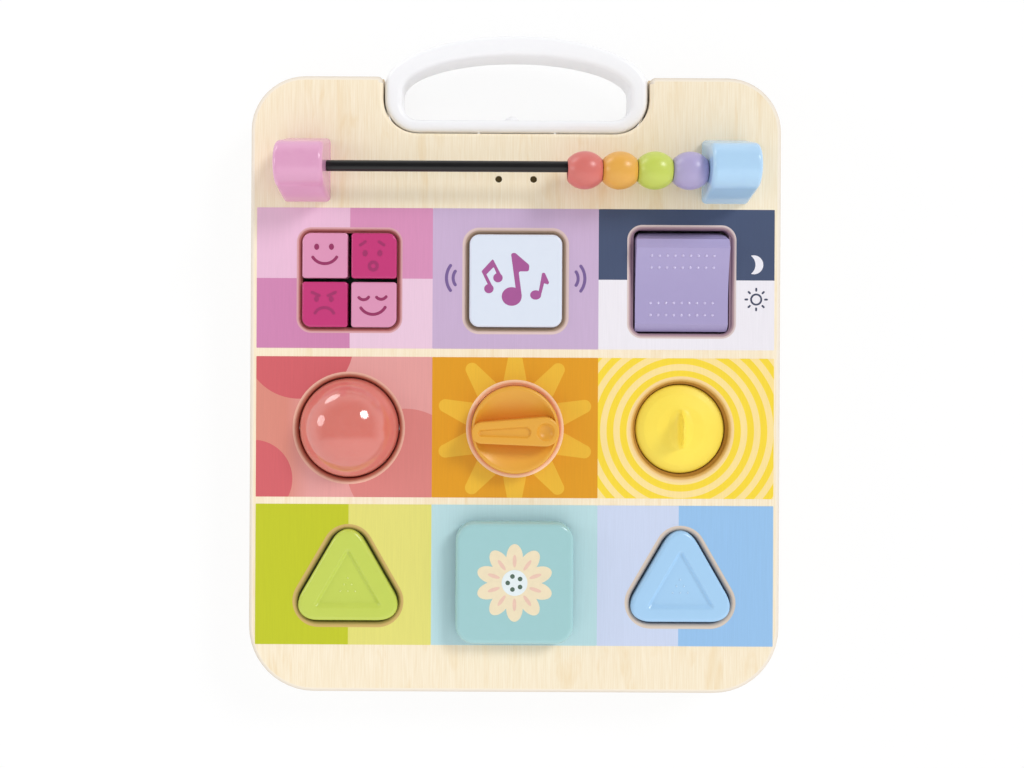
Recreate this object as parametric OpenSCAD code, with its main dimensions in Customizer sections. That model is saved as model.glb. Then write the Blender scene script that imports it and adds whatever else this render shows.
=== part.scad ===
// A wooden busy board: press buttons, a rocker, a ball, a dial, a spinner and four beads on a rod.
// It lies on its back. X runs to the right, Y towards the handle and Z out of the printed face.
// The origin is the middle of the back face. All sizes are in millimetres.

/* [Board] */
// Width of the board
board_w = 292; // [286:1:300]
// Height of the board without its handle
board_h = 339; // [335:1:350]
// Corner radius at the top
top_corner_r = 30; // [24:0.5:40]
// Corner radius at the bottom
low_corner_r = 36; // [24:0.5:45]
// Thickness of the front panel
front_t = 9; // [9:0.5:12]
// Depth of the rails between the two panels
rail_depth = 25; // [25:0.5:32]
// Width of the rails
rail_w = 10; // [8:0.5:10]
// Thickness of the back panel
back_t = 4; // [4:0.5:6]
// Bevel along the front edge of the board
edge_bevel = 3; // [1:0.1:4]
// Bevel round each hole in the face
hole_bevel = 2.4; // [1:0.1:3]

/* [Layout] */
// From the board's sides to the middle of the outer controls
side_margin = 54.7; // [53:0.1:56]
// From the board's top edge to the first row of controls
top_margin = 112.5; // [111:0.1:114]
// From the board's bottom edge to the last row of controls
low_margin = 64.1; // [62:0.1:65]
// From the board's top edge to the bead rod
rod_margin = 52; // [51:0.1:53]

/* [Handle] */
// Width of the notch for the handle
notch_w = 147.3; // [140:0.1:152]
// Depth of the notch
notch_depth = 31.2; // [28:0.1:32]
// Radius in the notch's lower corners
notch_r = 19.5; // [15:0.5:22]
// Gap between handle and notch
handle_gap = 0.8; // [0.5:0.1:1.5]
// Height of the handle above the board's edge
handle_rise = 23.5; // [20:0.5:30]
// Thickness of the handle at the top of its arch
handle_top_t = 11.5; // [10:0.5:13]
// Thickness of the handle's sides
handle_side_t = 9.8; // [8:0.1:11]
// Thickness of the handle's lower bar
handle_low_t = 7.2; // [6:0.1:9]
// Depth of the handle from front to back
handle_depth = 24; // [20:0.5:26]
// Front of the handle below the face
handle_drop = 2.5; // [1:0.5:4]
// Distance from the middle to each tongue of the handle
tongue_x = 21; // [20:0.5:24]
// Width of each tongue
tongue_w = 12; // [10:0.5:12]
// Thickness of each tongue
tongue_t = 8; // [7:0.5:9]

/* [Beads] */
// Length of each post along the rod
post_len = 26; // [24:0.5:27]
// Width of each post at its foot
post_w = 35; // [32:0.5:36]
// Diameter of each post's round crown
post_crown_d = 23; // [21:0.5:26]
// Height of each post
post_h = 35; // [32:0.5:38]
// From the board's sides to the middle of the posts
post_margin = 31; // [29:0.5:33]
// Bevel round the end faces of each post
post_bevel = 2.5; // [1:0.1:3]
// Diameter of the rod
rod_d = 6; // [5:0.1:6.4]
// Height of the rod above the face
rod_rise = 17.4; // [16:0.1:19]
// Depth of the rod in each post
rod_seat = 15; // [10:0.5:18]
// Diameter of each bead
bead_d = 20.4; // [18:0.1:22]
// Length of each bead
bead_len = 18.5; // [17:0.1:18.6]
// Radius of a bead's bulge along the rod
bead_bulge = 12; // [11.5:0.1:13]
// Gap between neighbouring beads
bead_gap = 0.25; // [0.2:0.05:0.3]
// How far each bead hangs below the rod
bead_drop = 1.8; // [1.5:0.1:2]
// Gap above the rod in each bead
bead_fit = 0.3; // [0.25:0.05:0.4]

/* [Face buttons] */
// Side of each of the four buttons
face_cap = 24.9; // [24:0.1:25.2]
// Gap between the four buttons
face_cap_gap = 2; // [1.6:0.1:2.4]
// Gap between the buttons and their hole
face_hole_gap = 0.85; // [0.6:0.05:1]
// Outer corner radius of the group
face_corner_r = 5; // [4:0.5:6]
// Height of the buttons above the face
face_rise = 1.5; // [1:0.1:2.5]

/* [Music button] */
// Side of the button
music_cap = 50.8; // [49:0.1:52]
// Corner radius of the button
music_r = 5.5; // [4:0.5:7]
// Gap between the button and its hole
music_gap = 1.6; // [1:0.1:1.8]
// Height of the button above the face
music_rise = 3.5; // [3.3:0.1:5]

/* [Rocker] */
// Width of the rocker
rocker_w = 51; // [50:0.1:52]
// Length of the rocker across its round ends
rocker_len = 56.2; // [55:0.1:56.4]
// Radius of the rocker's corners
rocker_r = 4.4; // [4:0.1:5]
// Distance between the rocker's two ridges
rocker_ridge = 42; // [40:0.5:44]
// Depth of the hollow between the ridges
rocker_dish = 2.2; // [1:0.1:3]
// Tilt to each side
rocker_tilt = 8; // [6:0.5:8]
// Pin below the face
rocker_pin_drop = 14; // [13:0.5:15]
// Height of the ridges above the pin
rocker_top = 17; // [16:0.5:18]
// Gap beside the rocker in its hole
rocker_gap = 2.2; // [1.7:0.1:2.4]
// Gap at the rocker's ends
rocker_end_gap = 0.8; // [0.7:0.1:1]
// Diameter of the pin
rocker_pin_d = 4; // [3.5:0.1:5]

/* [Ball] */
// Diameter of the ball
ball_d = 55; // [52:0.1:55.4]
// Thickness of the shells
ball_wall = 2.6; // [2:0.1:4]
// Gap between the ball and its hole
ball_gap = 1.1; // [0.8:0.1:1.4]
// Axle below the face
axle_drop = 5; // [4:0.1:5]
// Diameter of the axle
axle_d = 4; // [3.5:0.1:4.5]
// Length of the axle in each side of the panel
axle_seat = 6.5; // [5:0.5:8]

/* [Dial] */
// Diameter of the knob
dial_d = 47.6; // [45:0.1:49]
// Gap between the knob and its hole
dial_gap = 0.8; // [0.5:0.1:1.2]
// Height of the knob's edge above the face
dial_rise = 10; // [8:0.5:11]
// Height of the pointer above the knob's edge
pointer_rise = 6; // [4:0.5:8]
// Width of the pointer's narrow end
pointer_tail_w = 11.6; // [10:0.1:13]
// Width of the pointer's broad end
pointer_head_w = 17; // [15:0.1:19]
// Diameter of the shaft
dial_shaft_d = 10; // [9:0.5:11]

/* [Spinner] */
// Diameter of the disc
spinner_d = 49; // [46:0.1:50]
// Gap between the disc and its hole
spinner_gap = 2.5; // [2:0.1:2.8]
// Rim of the disc below the face
spinner_drop = 5; // [4:0.1:6]
// Height of the fin above the face
fin_rise = 13; // [11:0.5:16]
// Length of the fin
fin_len = 18; // [16:0.5:20]
// Diameter of the spindle
spindle_d = 4; // [3.5:0.1:5]

/* [Triangle buttons] */
// Distance between the corner circles
tri_side = 32.4; // [31:0.1:33]
// Radius of the corner circles
tri_r = 10.4; // [10:0.1:11]
// Gap between a button and its hole
tri_gap = 1.6; // [1:0.1:1.8]
// Height of a button above the face
tri_rise = 2.5; // [1.5:0.1:3]
// Depth of the triangle sunk into a button
tri_sink = 1.4; // [1:0.1:1.6]

/* [Tile button] */
// Width of the tile
tile_w = 64; // [62:0.5:66]
// Height of the tile
tile_h = 66; // [64:0.5:68]
// Corner radius of the tile
tile_r = 10; // [8:0.5:12]
// Top of the tile above the face
tile_rise = 11; // [10:0.5:13]
// Gap below the tile
tile_stand = 3.6; // [3.5:0.1:4]
// Tile below the middle of its row
tile_drop = 1.8; // [1:0.1:3]
// Side of the tile's stem
tile_stem_w = 36; // [34:0.5:38]

/* [Buttons inside] */
// Travel of each button
travel = 3; // [2.5:0.1:3]
// Wall of the caps and guides
wall = 2; // [1.8:0.1:2.4]
// Thickness of the caps at the top
cap_top = 3; // [2.5:0.1:3.5]
// Bevel along the top of the caps
cap_bevel = 1.2; // [0.8:0.1:1.5]
// Width of the lip that holds a cap under the panel
lip = 2; // [1.5:0.1:2.2]
// Thickness of that lip
lip_t = 2.2; // [1.8:0.1:2.5]
// Gap between a moving piece and what holds it
run_gap = 0.3; // [0.2:0.05:0.4]
// Running gap round a shaft or pin
shaft_fit = 0.06; // [0.04:0.01:0.09]
// Gap round a screw or fixed pin
seat_fit = 0.05; // [0.03:0.01:0.08]
// Height of the guides under the panel
guide_h = 15; // [15:0.5:16]
// Height of a rubber dome
dome_h = 7; // [6:0.5:7.5]
// Diameter of a plunger
plunger_d = 7; // [6:0.5:7.5]
// Thickness of the circuit boards
board_t = 1.6; // [1.2:0.1:2]

/* [Power] */
// Length of a cell
cell_len = 44.5; // [44:0.1:45]
// Diameter of a cell
cell_d = 10.5; // [10:0.1:10.5]
// Middle of the battery box, to the right
power_x = 62; // [60:0.5:64]
// Travel of the power slider
slider_travel = 5; // [4:0.5:6]

/* [Hidden] */
$fn = 64;
eps = 0.01;
birch = "#F3E4CB";
steel = "#C4C6C8";
panel_z = back_t + rail_depth;
face_z = panel_z + front_t;
top_y = board_h / 2;
notch_y = top_y - notch_depth;
notch_span = 2 * notch_depth + 2 * notch_r;
col_pitch = board_w / 2 - side_margin;
row_y = [top_y - top_margin, (low_margin - top_margin) / 2, low_margin - top_y];
rod_y = top_y - rod_margin;
post_x = board_w / 2 - post_margin;
face_at = [-col_pitch, row_y[0]];
music_at = [0, row_y[0]];
rocker_at = [col_pitch, row_y[0]];
ball_at = [-col_pitch, row_y[1]];
dial_at = [0, row_y[1]];
spinner_at = [col_pitch, row_y[1]];
green_at = [-col_pitch, row_y[2]];
tile_at = [0, row_y[2] - tile_drop];
blue_at = [col_pitch, row_y[2]];
pcb_z = panel_z - guide_h;
lip_z = panel_z - run_gap - lip_t;
dome_top = pcb_z + dome_h;
face_group = 2 * face_cap + face_cap_gap;
face_hole = face_group + 2 * face_hole_gap;
face_hole_r = face_corner_r + face_hole_gap;
face_step = (face_cap + face_cap_gap) / 2;
tri_rise_c = tri_side * sqrt(3) / 2;
tri_c = [[0, tri_rise_c / 2], [-tri_side / 2, -tri_rise_c / 2], [tri_side / 2, -tri_rise_c / 2]];
ball_r = ball_d / 2;
axle_z = face_z - axle_drop;
axle_len = ball_d + 2 * ball_gap + 2 * axle_seat;
rod_z = face_z + rod_rise;
free_rod = 2 * post_x - post_len;
post_r = post_crown_d / 2;
crown_y = post_h - post_r;
bead_pitch = bead_len + bead_gap;
last_bead_x = free_rod / 2 - bead_gap - bead_len / 2;
pivot_z = face_z - rocker_pin_drop;
knob_z = panel_z + run_gap;
knob_top = face_z + dial_rise;
rim_z = face_z - spinner_drop;
boss_r = 3.5;
screw_r = 1.4;
screw_bite = 6;
head_r = 2.8;
head_h = 1.8;
board_pad = 31;
box_y = row_y[0] + 51;
box_w = cell_len + 15;
box_h = 3 * cell_d + 3.6;
cell_z = 2.6 + cell_d / 2;
slider_at = [-62, row_y[0] + 52.2];

// Shapes that several pieces share

function box_c(w, h, r) = [[w / 2 - r, h / 2 - r], [r - w / 2, h / 2 - r], [r - w / 2, r - h / 2],
  [w / 2 - r, r - h / 2]];

// Slanted sides lie a hair inside their corner circles
function skim(d) = d.x == 0 || d.y == 0 ? 0 : 0.004;

// A flat outline with round corners about the given centres
module round_2d(c, r) {
  for (p = c)
    translate(p) circle(r);
  polygon(c);
  for (i = [0:len(c) - 1]) {
    p = c[i];
    d = c[(i + 1) % len(c)] - p;
    k = r - skim(d);
    translate(p) rotate(atan2(d.y, d.x)) translate([0, -k]) square([norm(d), k]);
  }
}

// The same outline as a solid that grows by flare towards its top
module flared(c, r, h, flare) {
  for (p = c)
    translate(p) cylinder(r1 = r, r2 = r + flare, h = h);
  linear_extrude(h) polygon(c);
  for (i = [0:len(c) - 1]) {
    p = c[i];
    d = c[(i + 1) % len(c)] - p;
    k = r - skim(d);
    translate(p) rotate(atan2(d.y, d.x)) rotate([90, 0, 90]) linear_extrude(norm(d))
      polygon([[0, 0], [-k, 0], [-k - flare, h], [0, h]]);
  }
}

// A hole through the front panel with its bevel
module hole(c, r) {
  translate([0, 0, panel_z - 1]) linear_extrude(front_t + 2) round_2d(c, r);
  translate([0, 0, face_z - hole_bevel]) flared(c, r, hole_bevel + eps, hole_bevel + eps);
}

module round_hole(r) {
  translate([0, 0, panel_z - 1]) cylinder(r = r, h = front_t + 2);
  translate([0, 0, face_z - hole_bevel]) cylinder(r1 = r, r2 = r + hole_bevel + eps, h = hole_bevel + eps);
}

module notch_2d(grow) {
  translate([0, notch_y + notch_span / 2])
    round_2d(box_c(notch_w + 2 * grow, notch_span + 2 * grow, notch_r + grow), notch_r + grow);
}

module sheet_2d(inset) {
  w = board_w - 2 * inset;
  h = board_h - 2 * inset;
  intersection() {
    round_2d(box_c(w, h, top_corner_r - inset), top_corner_r - inset);
    translate([-board_w, 0]) square([2 * board_w, board_h]);
  }
  intersection() {
    round_2d(box_c(w, h, low_corner_r - inset), low_corner_r - inset);
    translate([-board_w, -board_h]) square([2 * board_w, board_h]);
  }
}

module board_2d() {
  difference() {
    sheet_2d(0);
    notch_2d(0);
  }
}

module rails_2d() {
  difference() {
    board_2d();
    difference() {
      sheet_2d(rail_w);
      notch_2d(rail_w);
    }
  }
}

// Board

screw_spots = [[-board_w / 2 + rail_w / 2, 70], [-board_w / 2 + rail_w / 2, -70],
  [board_w / 2 - rail_w / 2, 70], [board_w / 2 - rail_w / 2, -70], [-70, -top_y + rail_w / 2],
  [70, -top_y + rail_w / 2], [-95, top_y - rail_w / 2], [95, top_y - rail_w / 2]];
post_spots = [for (s = [-1, 1], y = [-9, 9]) [s * post_x, rod_y + y]];
guide_spots = [for (s = [-1, 1]) each [
  face_at + [s * (face_hole / 2 + lip + wall + 3), 0],
  music_at + [s * (music_cap / 2 + music_gap + lip + wall + 3), 0],
  rocker_at + [s * (rocker_w / 2 + rocker_gap + wall + 3), -16],
  dial_at + [s * (dial_d / 2 + dial_gap + 6.5), 0],
  spinner_at + [s * (spinner_d / 2 + spinner_gap + 5.5), 0],
  green_at + [s * (tri_side / 2 + tri_r + tri_gap + lip + wall + 3), -tri_rise_c / 2],
  tile_at + [s * (tile_stem_w / 2 + lip + wall + 4), 0],
  blue_at + [s * (tri_side / 2 + tri_r + tri_gap + lip + wall + 3), -tri_rise_c / 2]]];

module board_bevel() {
  h = edge_bevel;
  intersection() {
    flared(box_c(board_w, board_h, top_corner_r), top_corner_r, h, -h);
    translate([-board_w, 0, 0]) cube([2 * board_w, board_h, h]);
  }
  intersection() {
    flared(box_c(board_w, board_h, low_corner_r), low_corner_r, h, -h);
    translate([-board_w, -board_h, 0]) cube([2 * board_w, board_h, h]);
  }
}

module front_panel() {
  color(birch) difference() {
    union() {
      translate([0, 0, panel_z]) linear_extrude(front_t - edge_bevel) sheet_2d(0);
      translate([0, 0, face_z - edge_bevel]) board_bevel();
    }
    translate([0, 0, panel_z - 1]) linear_extrude(front_t + 2) notch_2d(0);
    translate([0, notch_y + notch_span / 2, face_z - hole_bevel])
      flared(box_c(notch_w, notch_span, notch_r), notch_r, hole_bevel + eps, hole_bevel + eps);
    translate(face_at) hole(box_c(face_hole, face_hole, face_hole_r), face_hole_r);
    translate(music_at) hole(box_c(music_cap + 2 * music_gap, music_cap + 2 * music_gap, music_r + music_gap),
      music_r + music_gap);
    translate(rocker_at) hole(box_c(rocker_w + 2 * rocker_gap, rocker_len + 2 * rocker_end_gap, 6), 6);
    translate(ball_at) round_hole(ball_r + ball_gap);
    translate(dial_at) round_hole(dial_d / 2 + dial_gap);
    translate(spinner_at) round_hole(spinner_d / 2 + spinner_gap);
    translate(green_at) hole(tri_c, tri_r + tri_gap);
    translate(blue_at) hole(tri_c, tri_r + tri_gap);
    translate(tile_at) translate([0, 0, panel_z - 1]) linear_extrude(front_t + 2)
      round_2d(box_c(tile_stem_w + 1.4, tile_stem_w + 1.4, 6.7), 6.7);
    // slots that take the ball's axle from behind
    translate([ball_at.x - axle_len / 2 - seat_fit, ball_at.y - axle_d / 2 - seat_fit, panel_z - 1])
      cube([axle_len + 2 * seat_fit, axle_d + 2 * seat_fit, axle_z - panel_z + 1 + axle_d / 2 + seat_fit]);
    // sound holes
    for (s = [-1, 1])
      translate([s * 9.6, rod_y - 4.5, panel_z - 1]) cylinder(d = 3.8, h = front_t + 2);
    for (p = guide_spots)
      translate([p.x, p.y, panel_z - 1]) cylinder(r = screw_r + seat_fit, h = screw_bite + 1.3);
    for (p = post_spots)
      translate([p.x, p.y, panel_z - 1]) cylinder(r = screw_r + seat_fit, h = front_t + 2);
    for (s = [-1, 1])
      translate([s * tongue_x, notch_y - rail_w - 5, panel_z - 1])
        cylinder(r = screw_r + seat_fit, h = screw_bite + 1.3);
  }
}

module rail(x, y, w, h) {
  color(birch) difference() {
    translate([0, 0, back_t]) linear_extrude(rail_depth) intersection() {
      rails_2d();
      translate([x, y]) square([w, h]);
    }
    for (p = screw_spots)
      translate([p.x, p.y, back_t - 1]) cylinder(r = 1.5 + seat_fit, h = 15.3);
  }
}

low_cut = -top_y + low_corner_r;
top_cut = notch_y - rail_w - 2;

module left_rail() rail(-board_w / 2, low_cut, board_w / 2, top_cut - low_cut);
module right_rail() rail(0, low_cut, board_w / 2, top_cut - low_cut);
module bottom_rail() rail(-board_w / 2, -top_y, board_w, low_corner_r);

module top_rail() {
  color(birch) difference() {
    rail(-board_w / 2, top_cut, board_w, board_h);
    for (s = [-1, 1])
      translate([s * tongue_x - tongue_w / 2 - seat_fit, notch_y - rail_w - 1, panel_z - tongue_t - seat_fit])
        cube([tongue_w + 2 * seat_fit, rail_w + 2, tongue_t + 1]);
  }
}

module back_panel() {
  color(birch) difference() {
    linear_extrude(back_t) board_2d();
    translate([power_x - box_w / 2 - 0.3, box_y - box_h / 2 - 0.3, -1])
      cube([box_w + 0.6, box_h + 0.6, back_t + 2]);
    translate([slider_at.x - 7.5, slider_at.y - 2.5, -1]) cube([15, 5, back_t + 2]);
    translate([slider_at.x - 11, slider_at.y - 6, -1]) cube([22, 12, 3]);
    for (p = screw_spots) {
      translate([p.x, p.y, -1]) cylinder(r = 1.5 + seat_fit, h = back_t + 2);
      translate([p.x, p.y, -1]) cylinder(r = 3.3, h = 3.3);
    }
  }
}

module back_screws() {
  color(steel) for (p = screw_spots)
    translate([p.x, p.y, 0]) difference() {
      union() {
        translate([0, 0, 0.5]) cylinder(r = 3.1, h = 1.8);
        translate([0, 0, 1]) cylinder(r = 1.5, h = back_t + 13);
      }
      translate([-2, -0.4, 0]) cube([4, 0.8, 1.2]);
      translate([-0.4, -2, 0]) cube([0.8, 4, 1.2]);
    }
}

// Handle

handle_a = notch_w / 2 - handle_gap;
handle_low = notch_y + handle_gap;
handle_top = top_y + handle_rise;
arch_y = handle_low + 26;
// A closed loop: lower edge, right corner, right side, arch, left side and left corner
function loop(a, low, r, mid, b) = [
  for (i = [0:7]) [(a - r) * (i / 4 - 1), low],
  for (i = [0:7]) [a - r + r * sin(i * 11.25), low + r - r * cos(i * 11.25)],
  for (i = [0:1]) [a, low + r + (mid - low - r) * i / 2],
  for (i = [0:35]) [a * cos(i * 5), mid + b * sin(i * 5)],
  for (i = [0:1]) [-a, mid + (low + r - mid) * i / 2],
  for (i = [0:7]) [r - a - r * cos(i * 11.25), low + r - r * sin(i * 11.25)]];
loop_out = loop(handle_a, handle_low, notch_r - handle_gap, arch_y, handle_top - arch_y);
loop_in = loop(handle_a - handle_side_t, handle_low + handle_low_t, 9, arch_y - 3,
  handle_top - handle_top_t - arch_y + 3);
handle_ring = 16;
function soft(v) = sign(v) * pow(abs(v), 0.45);

module handle_loop() {
  n = len(loop_out);
  m = handle_ring;
  z = face_z - handle_drop - handle_depth / 2;
  points = [for (i = [0:n - 1], k = [0:m - 1])
    let (mid = (loop_out[i] + loop_in[i]) / 2, half = (loop_out[i] - loop_in[i]) / 2,
      p = mid + half * soft(cos(k * 360 / m)))
    [p.x, p.y, z + handle_depth / 2 * soft(sin(k * 360 / m))]];
  faces = [for (i = [0:n - 1], k = [0:m - 1])
    let (a = i * m + k, b = i * m + (k + 1) % m, d = ((i + 1) % n) * m + k,
      c = ((i + 1) % n) * m + (k + 1) % m)
    each [[a, b, c], [a, c, d]]];
  polyhedron(points, faces);
}

module handle() {
  color("#F5F5F7") difference() {
    union() {
      handle_loop();
      for (s = [-1, 1])
        translate([s * tongue_x - tongue_w / 2, notch_y - rail_w - 10, panel_z - tongue_t])
          cube([tongue_w, rail_w + 10 + handle_gap + handle_low_t / 2, tongue_t]);
    }
    for (s = [-1, 1])
      translate([s * tongue_x, notch_y - rail_w - 5, 0]) cylinder(r = screw_r + seat_fit, h = panel_z + 1);
  }
}

// Beads

// Where a post's flank runs into its crown, a hair inside the crown's circle
function flank_end() =
  let (k = post_r - 0.004, a = acos(k / norm([post_w / 2, crown_y])) - atan2(crown_y, post_w / 2))
  [k * cos(a), crown_y + k * sin(a)];

module post_2d() {
  t = flank_end();
  translate([0, crown_y]) circle(post_r);
  polygon([[-post_w / 2, 0], [post_w / 2, 0], t, [-t.x, t.y]]);
}

// An end of a post, drawn in on all sides but the foot
module post_end(b) {
  d = flank_end() - [post_w / 2, 0];
  reach = 0.55 * post_w;
  intersection() {
    union() {
      translate([0, crown_y, 0]) cylinder(r1 = post_r, r2 = post_r - b, h = b);
      for (s = [0, 1])
        mirror([s, 0, 0]) translate([post_w / 2, 0, 0]) rotate(atan2(d.y, d.x)) rotate([90, 0, 90])
          linear_extrude(norm(d)) polygon([[0, 0], [reach, 0], [reach, b], [b, b]]);
    }
    translate([-post_w, 0, 0]) cube([2 * post_w, 2 * post_h, b]);
  }
}

module post(side) {
  b = post_bevel;
  translate([side * post_x, rod_y, face_z]) difference() {
    rotate([90, 0, 90]) union() {
      translate([0, 0, -post_len / 2 + b]) linear_extrude(post_len - 2 * b) post_2d();
      for (s = [-1, 1])
        translate([0, 0, s * (post_len / 2 - b)]) mirror([0, 0, s < 0 ? 1 : 0]) post_end(b);
    }
    translate([-side * (post_len / 2 + 1), 0, rod_rise]) rotate([0, side * 90, 0])
      cylinder(r = rod_d / 2 + seat_fit, h = rod_seat + 1 + seat_fit);
    for (y = [-9, 9])
      translate([0, y, -1]) cylinder(r = screw_r + seat_fit, h = 11.3);
  }
}

module left_post() color("#D898BB") post(-1);
module right_post() color("#A9CFF0") post(1);

module bead_rod() {
  color("#1E1D1E") translate([-free_rod / 2 - rod_seat, rod_y, rod_z]) rotate([0, 90, 0])
    cylinder(d = rod_d, h = free_rod + 2 * rod_seat);
}

// Beads are counted from the right
module bead(i) {
  bore = rod_d / 2 + bead_drop + bead_fit;
  sweep = asin(bead_len / 2 / bead_bulge);
  bulge = [for (k = [-10:10]) bead_bulge * [cos(k * sweep / 10), sin(k * sweep / 10)]];
  translate([last_bead_x - i * bead_pitch, rod_y - bead_drop, rod_z]) rotate([0, 90, 0]) rotate_extrude()
    polygon(concat([[bore, bead_len / 2], [bore, -bead_len / 2]],
      [for (p = bulge) [p[0] + bead_d / 2 - bead_bulge, p[1]]]));
}

module purple_bead() color("#AFA4CE") bead(0);
module green_bead() color("#C6D35C") bead(1);
module orange_bead() color("#E4AA4E") bead(2);
module red_bead() color("#D5736B") bead(3);

// Press buttons

module cap(c, r, gap, rise) {
  top = face_z + rise;
  difference() {
    union() {
      translate([0, 0, lip_z]) linear_extrude(top - cap_bevel - lip_z) round_2d(c, r);
      translate([0, 0, top - cap_bevel]) flared(c, r, cap_bevel, -cap_bevel);
      translate([0, 0, lip_z]) linear_extrude(lip_t) round_2d(c, r + gap + lip);
    }
    translate([0, 0, lip_z - 1]) linear_extrude(top - cap_top - lip_z + 1) round_2d(c, r - wall);
  }
  translate([0, 0, dome_top + run_gap]) cylinder(d = plunger_d, h = top - cap_top / 2 - dome_top - run_gap);
}

module dome() {
  translate([0, 0, pcb_z]) rotate_extrude()
    polygon([[4.6, 0], [6.5, 0], [6.5, 1.2], [5.4, 1.2], [3.4, dome_h - 2], [3.4, dome_h], [0, dome_h],
      [0, dome_h - 2], [2.4, dome_h - 2], [4.6, 1]]);
}

module boss() {
  translate([0, 0, pcb_z]) cylinder(r = boss_r, h = guide_h);
}

module boss_bore() {
  translate([0, 0, pcb_z - 1]) cylinder(r = screw_r + seat_fit, h = guide_h + 2);
}

// A guide ring under the panel with a boss at each side
module guide(c, r, side_x, side_y) {
  difference() {
    union() {
      translate([0, 0, pcb_z]) linear_extrude(guide_h) round_2d(c, r + wall);
      for (s = [-1, 1])
        translate([s * side_x, side_y]) boss();
    }
    translate([0, 0, pcb_z - 1]) linear_extrude(guide_h + 2) round_2d(c, r);
    for (s = [-1, 1])
      translate([s * side_x, side_y]) boss_bore();
  }
}

module face_button(sx, sy) {
  top = face_z + face_rise;
  reach = face_group / 2;
  inner = face_cap_gap / 2;
  translate(face_at) difference() {
    union() {
      translate([0, 0, lip_z]) linear_extrude(top - lip_z) intersection() {
        round_2d(box_c(face_group, face_group, face_corner_r), face_corner_r);
        translate([sx * (inner + reach / 2), sy * (inner + reach / 2)])
          round_2d(box_c(reach, reach, 1.5), 1.5);
      }
      translate([0, 0, lip_z]) linear_extrude(lip_t) intersection() {
        round_2d(box_c(face_hole + 2 * lip, face_hole + 2 * lip, face_hole_r), face_hole_r);
        translate([sx * (inner + reach / 2 + 2), sy * (inner + reach / 2 + 2)])
          square(reach + 4, center = true);
      }
    }
    translate([sx * face_step, sy * face_step, lip_z - 1]) linear_extrude(top - cap_top - lip_z + 1)
      square(face_cap - 2 * wall, center = true);
  }
  translate([face_at.x + sx * face_step, face_at.y + sy * face_step, dome_top + run_gap])
    cylinder(d = plunger_d, h = top - cap_top / 2 - dome_top - run_gap);
}

module happy_button() color("#DE93B9") face_button(-1, 1);
module surprised_button() color("#C73E7B") face_button(1, 1);
module cross_button() color("#C33577") face_button(-1, -1);
module calm_button() color("#DE93B9") face_button(1, -1);

module face_dome(sx, sy) {
  color("#E9E6DF") translate([face_at.x + sx * face_step, face_at.y + sy * face_step, 0]) dome();
}

module happy_dome() face_dome(-1, 1);
module surprised_dome() face_dome(1, 1);
module cross_dome() face_dome(-1, -1);
module calm_dome() face_dome(1, -1);

module face_guide() {
  side = face_hole + 2 * lip + 1.2;
  color("#D9D9D6") translate(face_at)
    guide(box_c(side, side, face_hole_r + 0.6), face_hole_r + 0.6, face_hole / 2 + lip + wall + 3, 0);
}

music_c = box_c(music_cap, music_cap, music_r);

module music_button() color("#DDE5F2") translate(music_at) cap(music_c, music_r, music_gap, music_rise);
module music_dome() color("#E9E6DF") translate(music_at) dome();

module music_guide() {
  color("#D9D9D6") translate(music_at)
    guide(music_c, music_r + music_gap + lip + 0.6, music_cap / 2 + music_gap + lip + wall + 3, 0);
}

module tri_button() {
  top = face_z + tri_rise;
  s = tri_sink;
  difference() {
    union() {
      hull() for (p = tri_c)
        translate([p.x, p.y, lip_z]) {
          cylinder(r = tri_r, h = top - cap_bevel - lip_z, $fn = 40);
          cylinder(r = tri_r - cap_bevel, h = top - lip_z, $fn = 40);
        }
      translate([0, 0, lip_z]) linear_extrude(lip_t) round_2d(tri_c, tri_r + tri_gap + lip);
    }
    translate([0, 0, lip_z - 1])
      cylinder(r = tri_rise_c / 3 + tri_r - 2 * wall, h = top - cap_top - s - lip_z + 1);
    hull() for (p = tri_c * 0.96)
      translate([p.x, p.y, top - s]) cylinder(r1 = 1, r2 = 1 + s + eps, h = s + eps, $fn = 24);
  }
  translate([0, 0, dome_top + run_gap])
    cylinder(d = plunger_d, h = top - cap_top / 2 - s - dome_top - run_gap);
}

module tri_guide() {
  guide(tri_c, tri_r + tri_gap + lip + 0.6, tri_side / 2 + tri_r + tri_gap + lip + wall + 3, -tri_rise_c / 2);
}

module green_button() color("#C7D562") translate(green_at) tri_button();
module green_dome() color("#E9E6DF") translate(green_at) dome();
module green_guide() color("#D9D9D6") translate(green_at) tri_guide();
module blue_button() color("#A7D1F3") translate(blue_at) tri_button();
module blue_dome() color("#E9E6DF") translate(blue_at) dome();
module blue_guide() color("#D9D9D6") translate(blue_at) tri_guide();

stem_c = box_c(tile_stem_w, tile_stem_w, 6);

module tile_button() {
  tile_c = box_c(tile_w, tile_h, tile_r);
  low = face_z + tile_stand;
  top = face_z + tile_rise;
  color("#A0CDCE") translate(tile_at) {
    difference() {
      union() {
        translate([0, 0, low]) linear_extrude(top - cap_bevel - low) round_2d(tile_c, tile_r);
        translate([0, 0, top - cap_bevel]) flared(tile_c, tile_r, cap_bevel, -cap_bevel);
        translate([0, 0, lip_z]) linear_extrude(top - cap_top - lip_z) round_2d(stem_c, 6);
        translate([0, 0, lip_z]) linear_extrude(lip_t) round_2d(stem_c, 6 + 0.7 + lip);
      }
      translate([0, 0, lip_z - 1]) linear_extrude(top - cap_top - lip_z + 1) round_2d(stem_c, 6 - wall);
    }
    translate([0, 0, dome_top + run_gap]) cylinder(d = plunger_d, h = top - cap_top / 2 - dome_top - run_gap);
  }
}

module tile_dome() color("#E9E6DF") translate(tile_at) dome();

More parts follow.
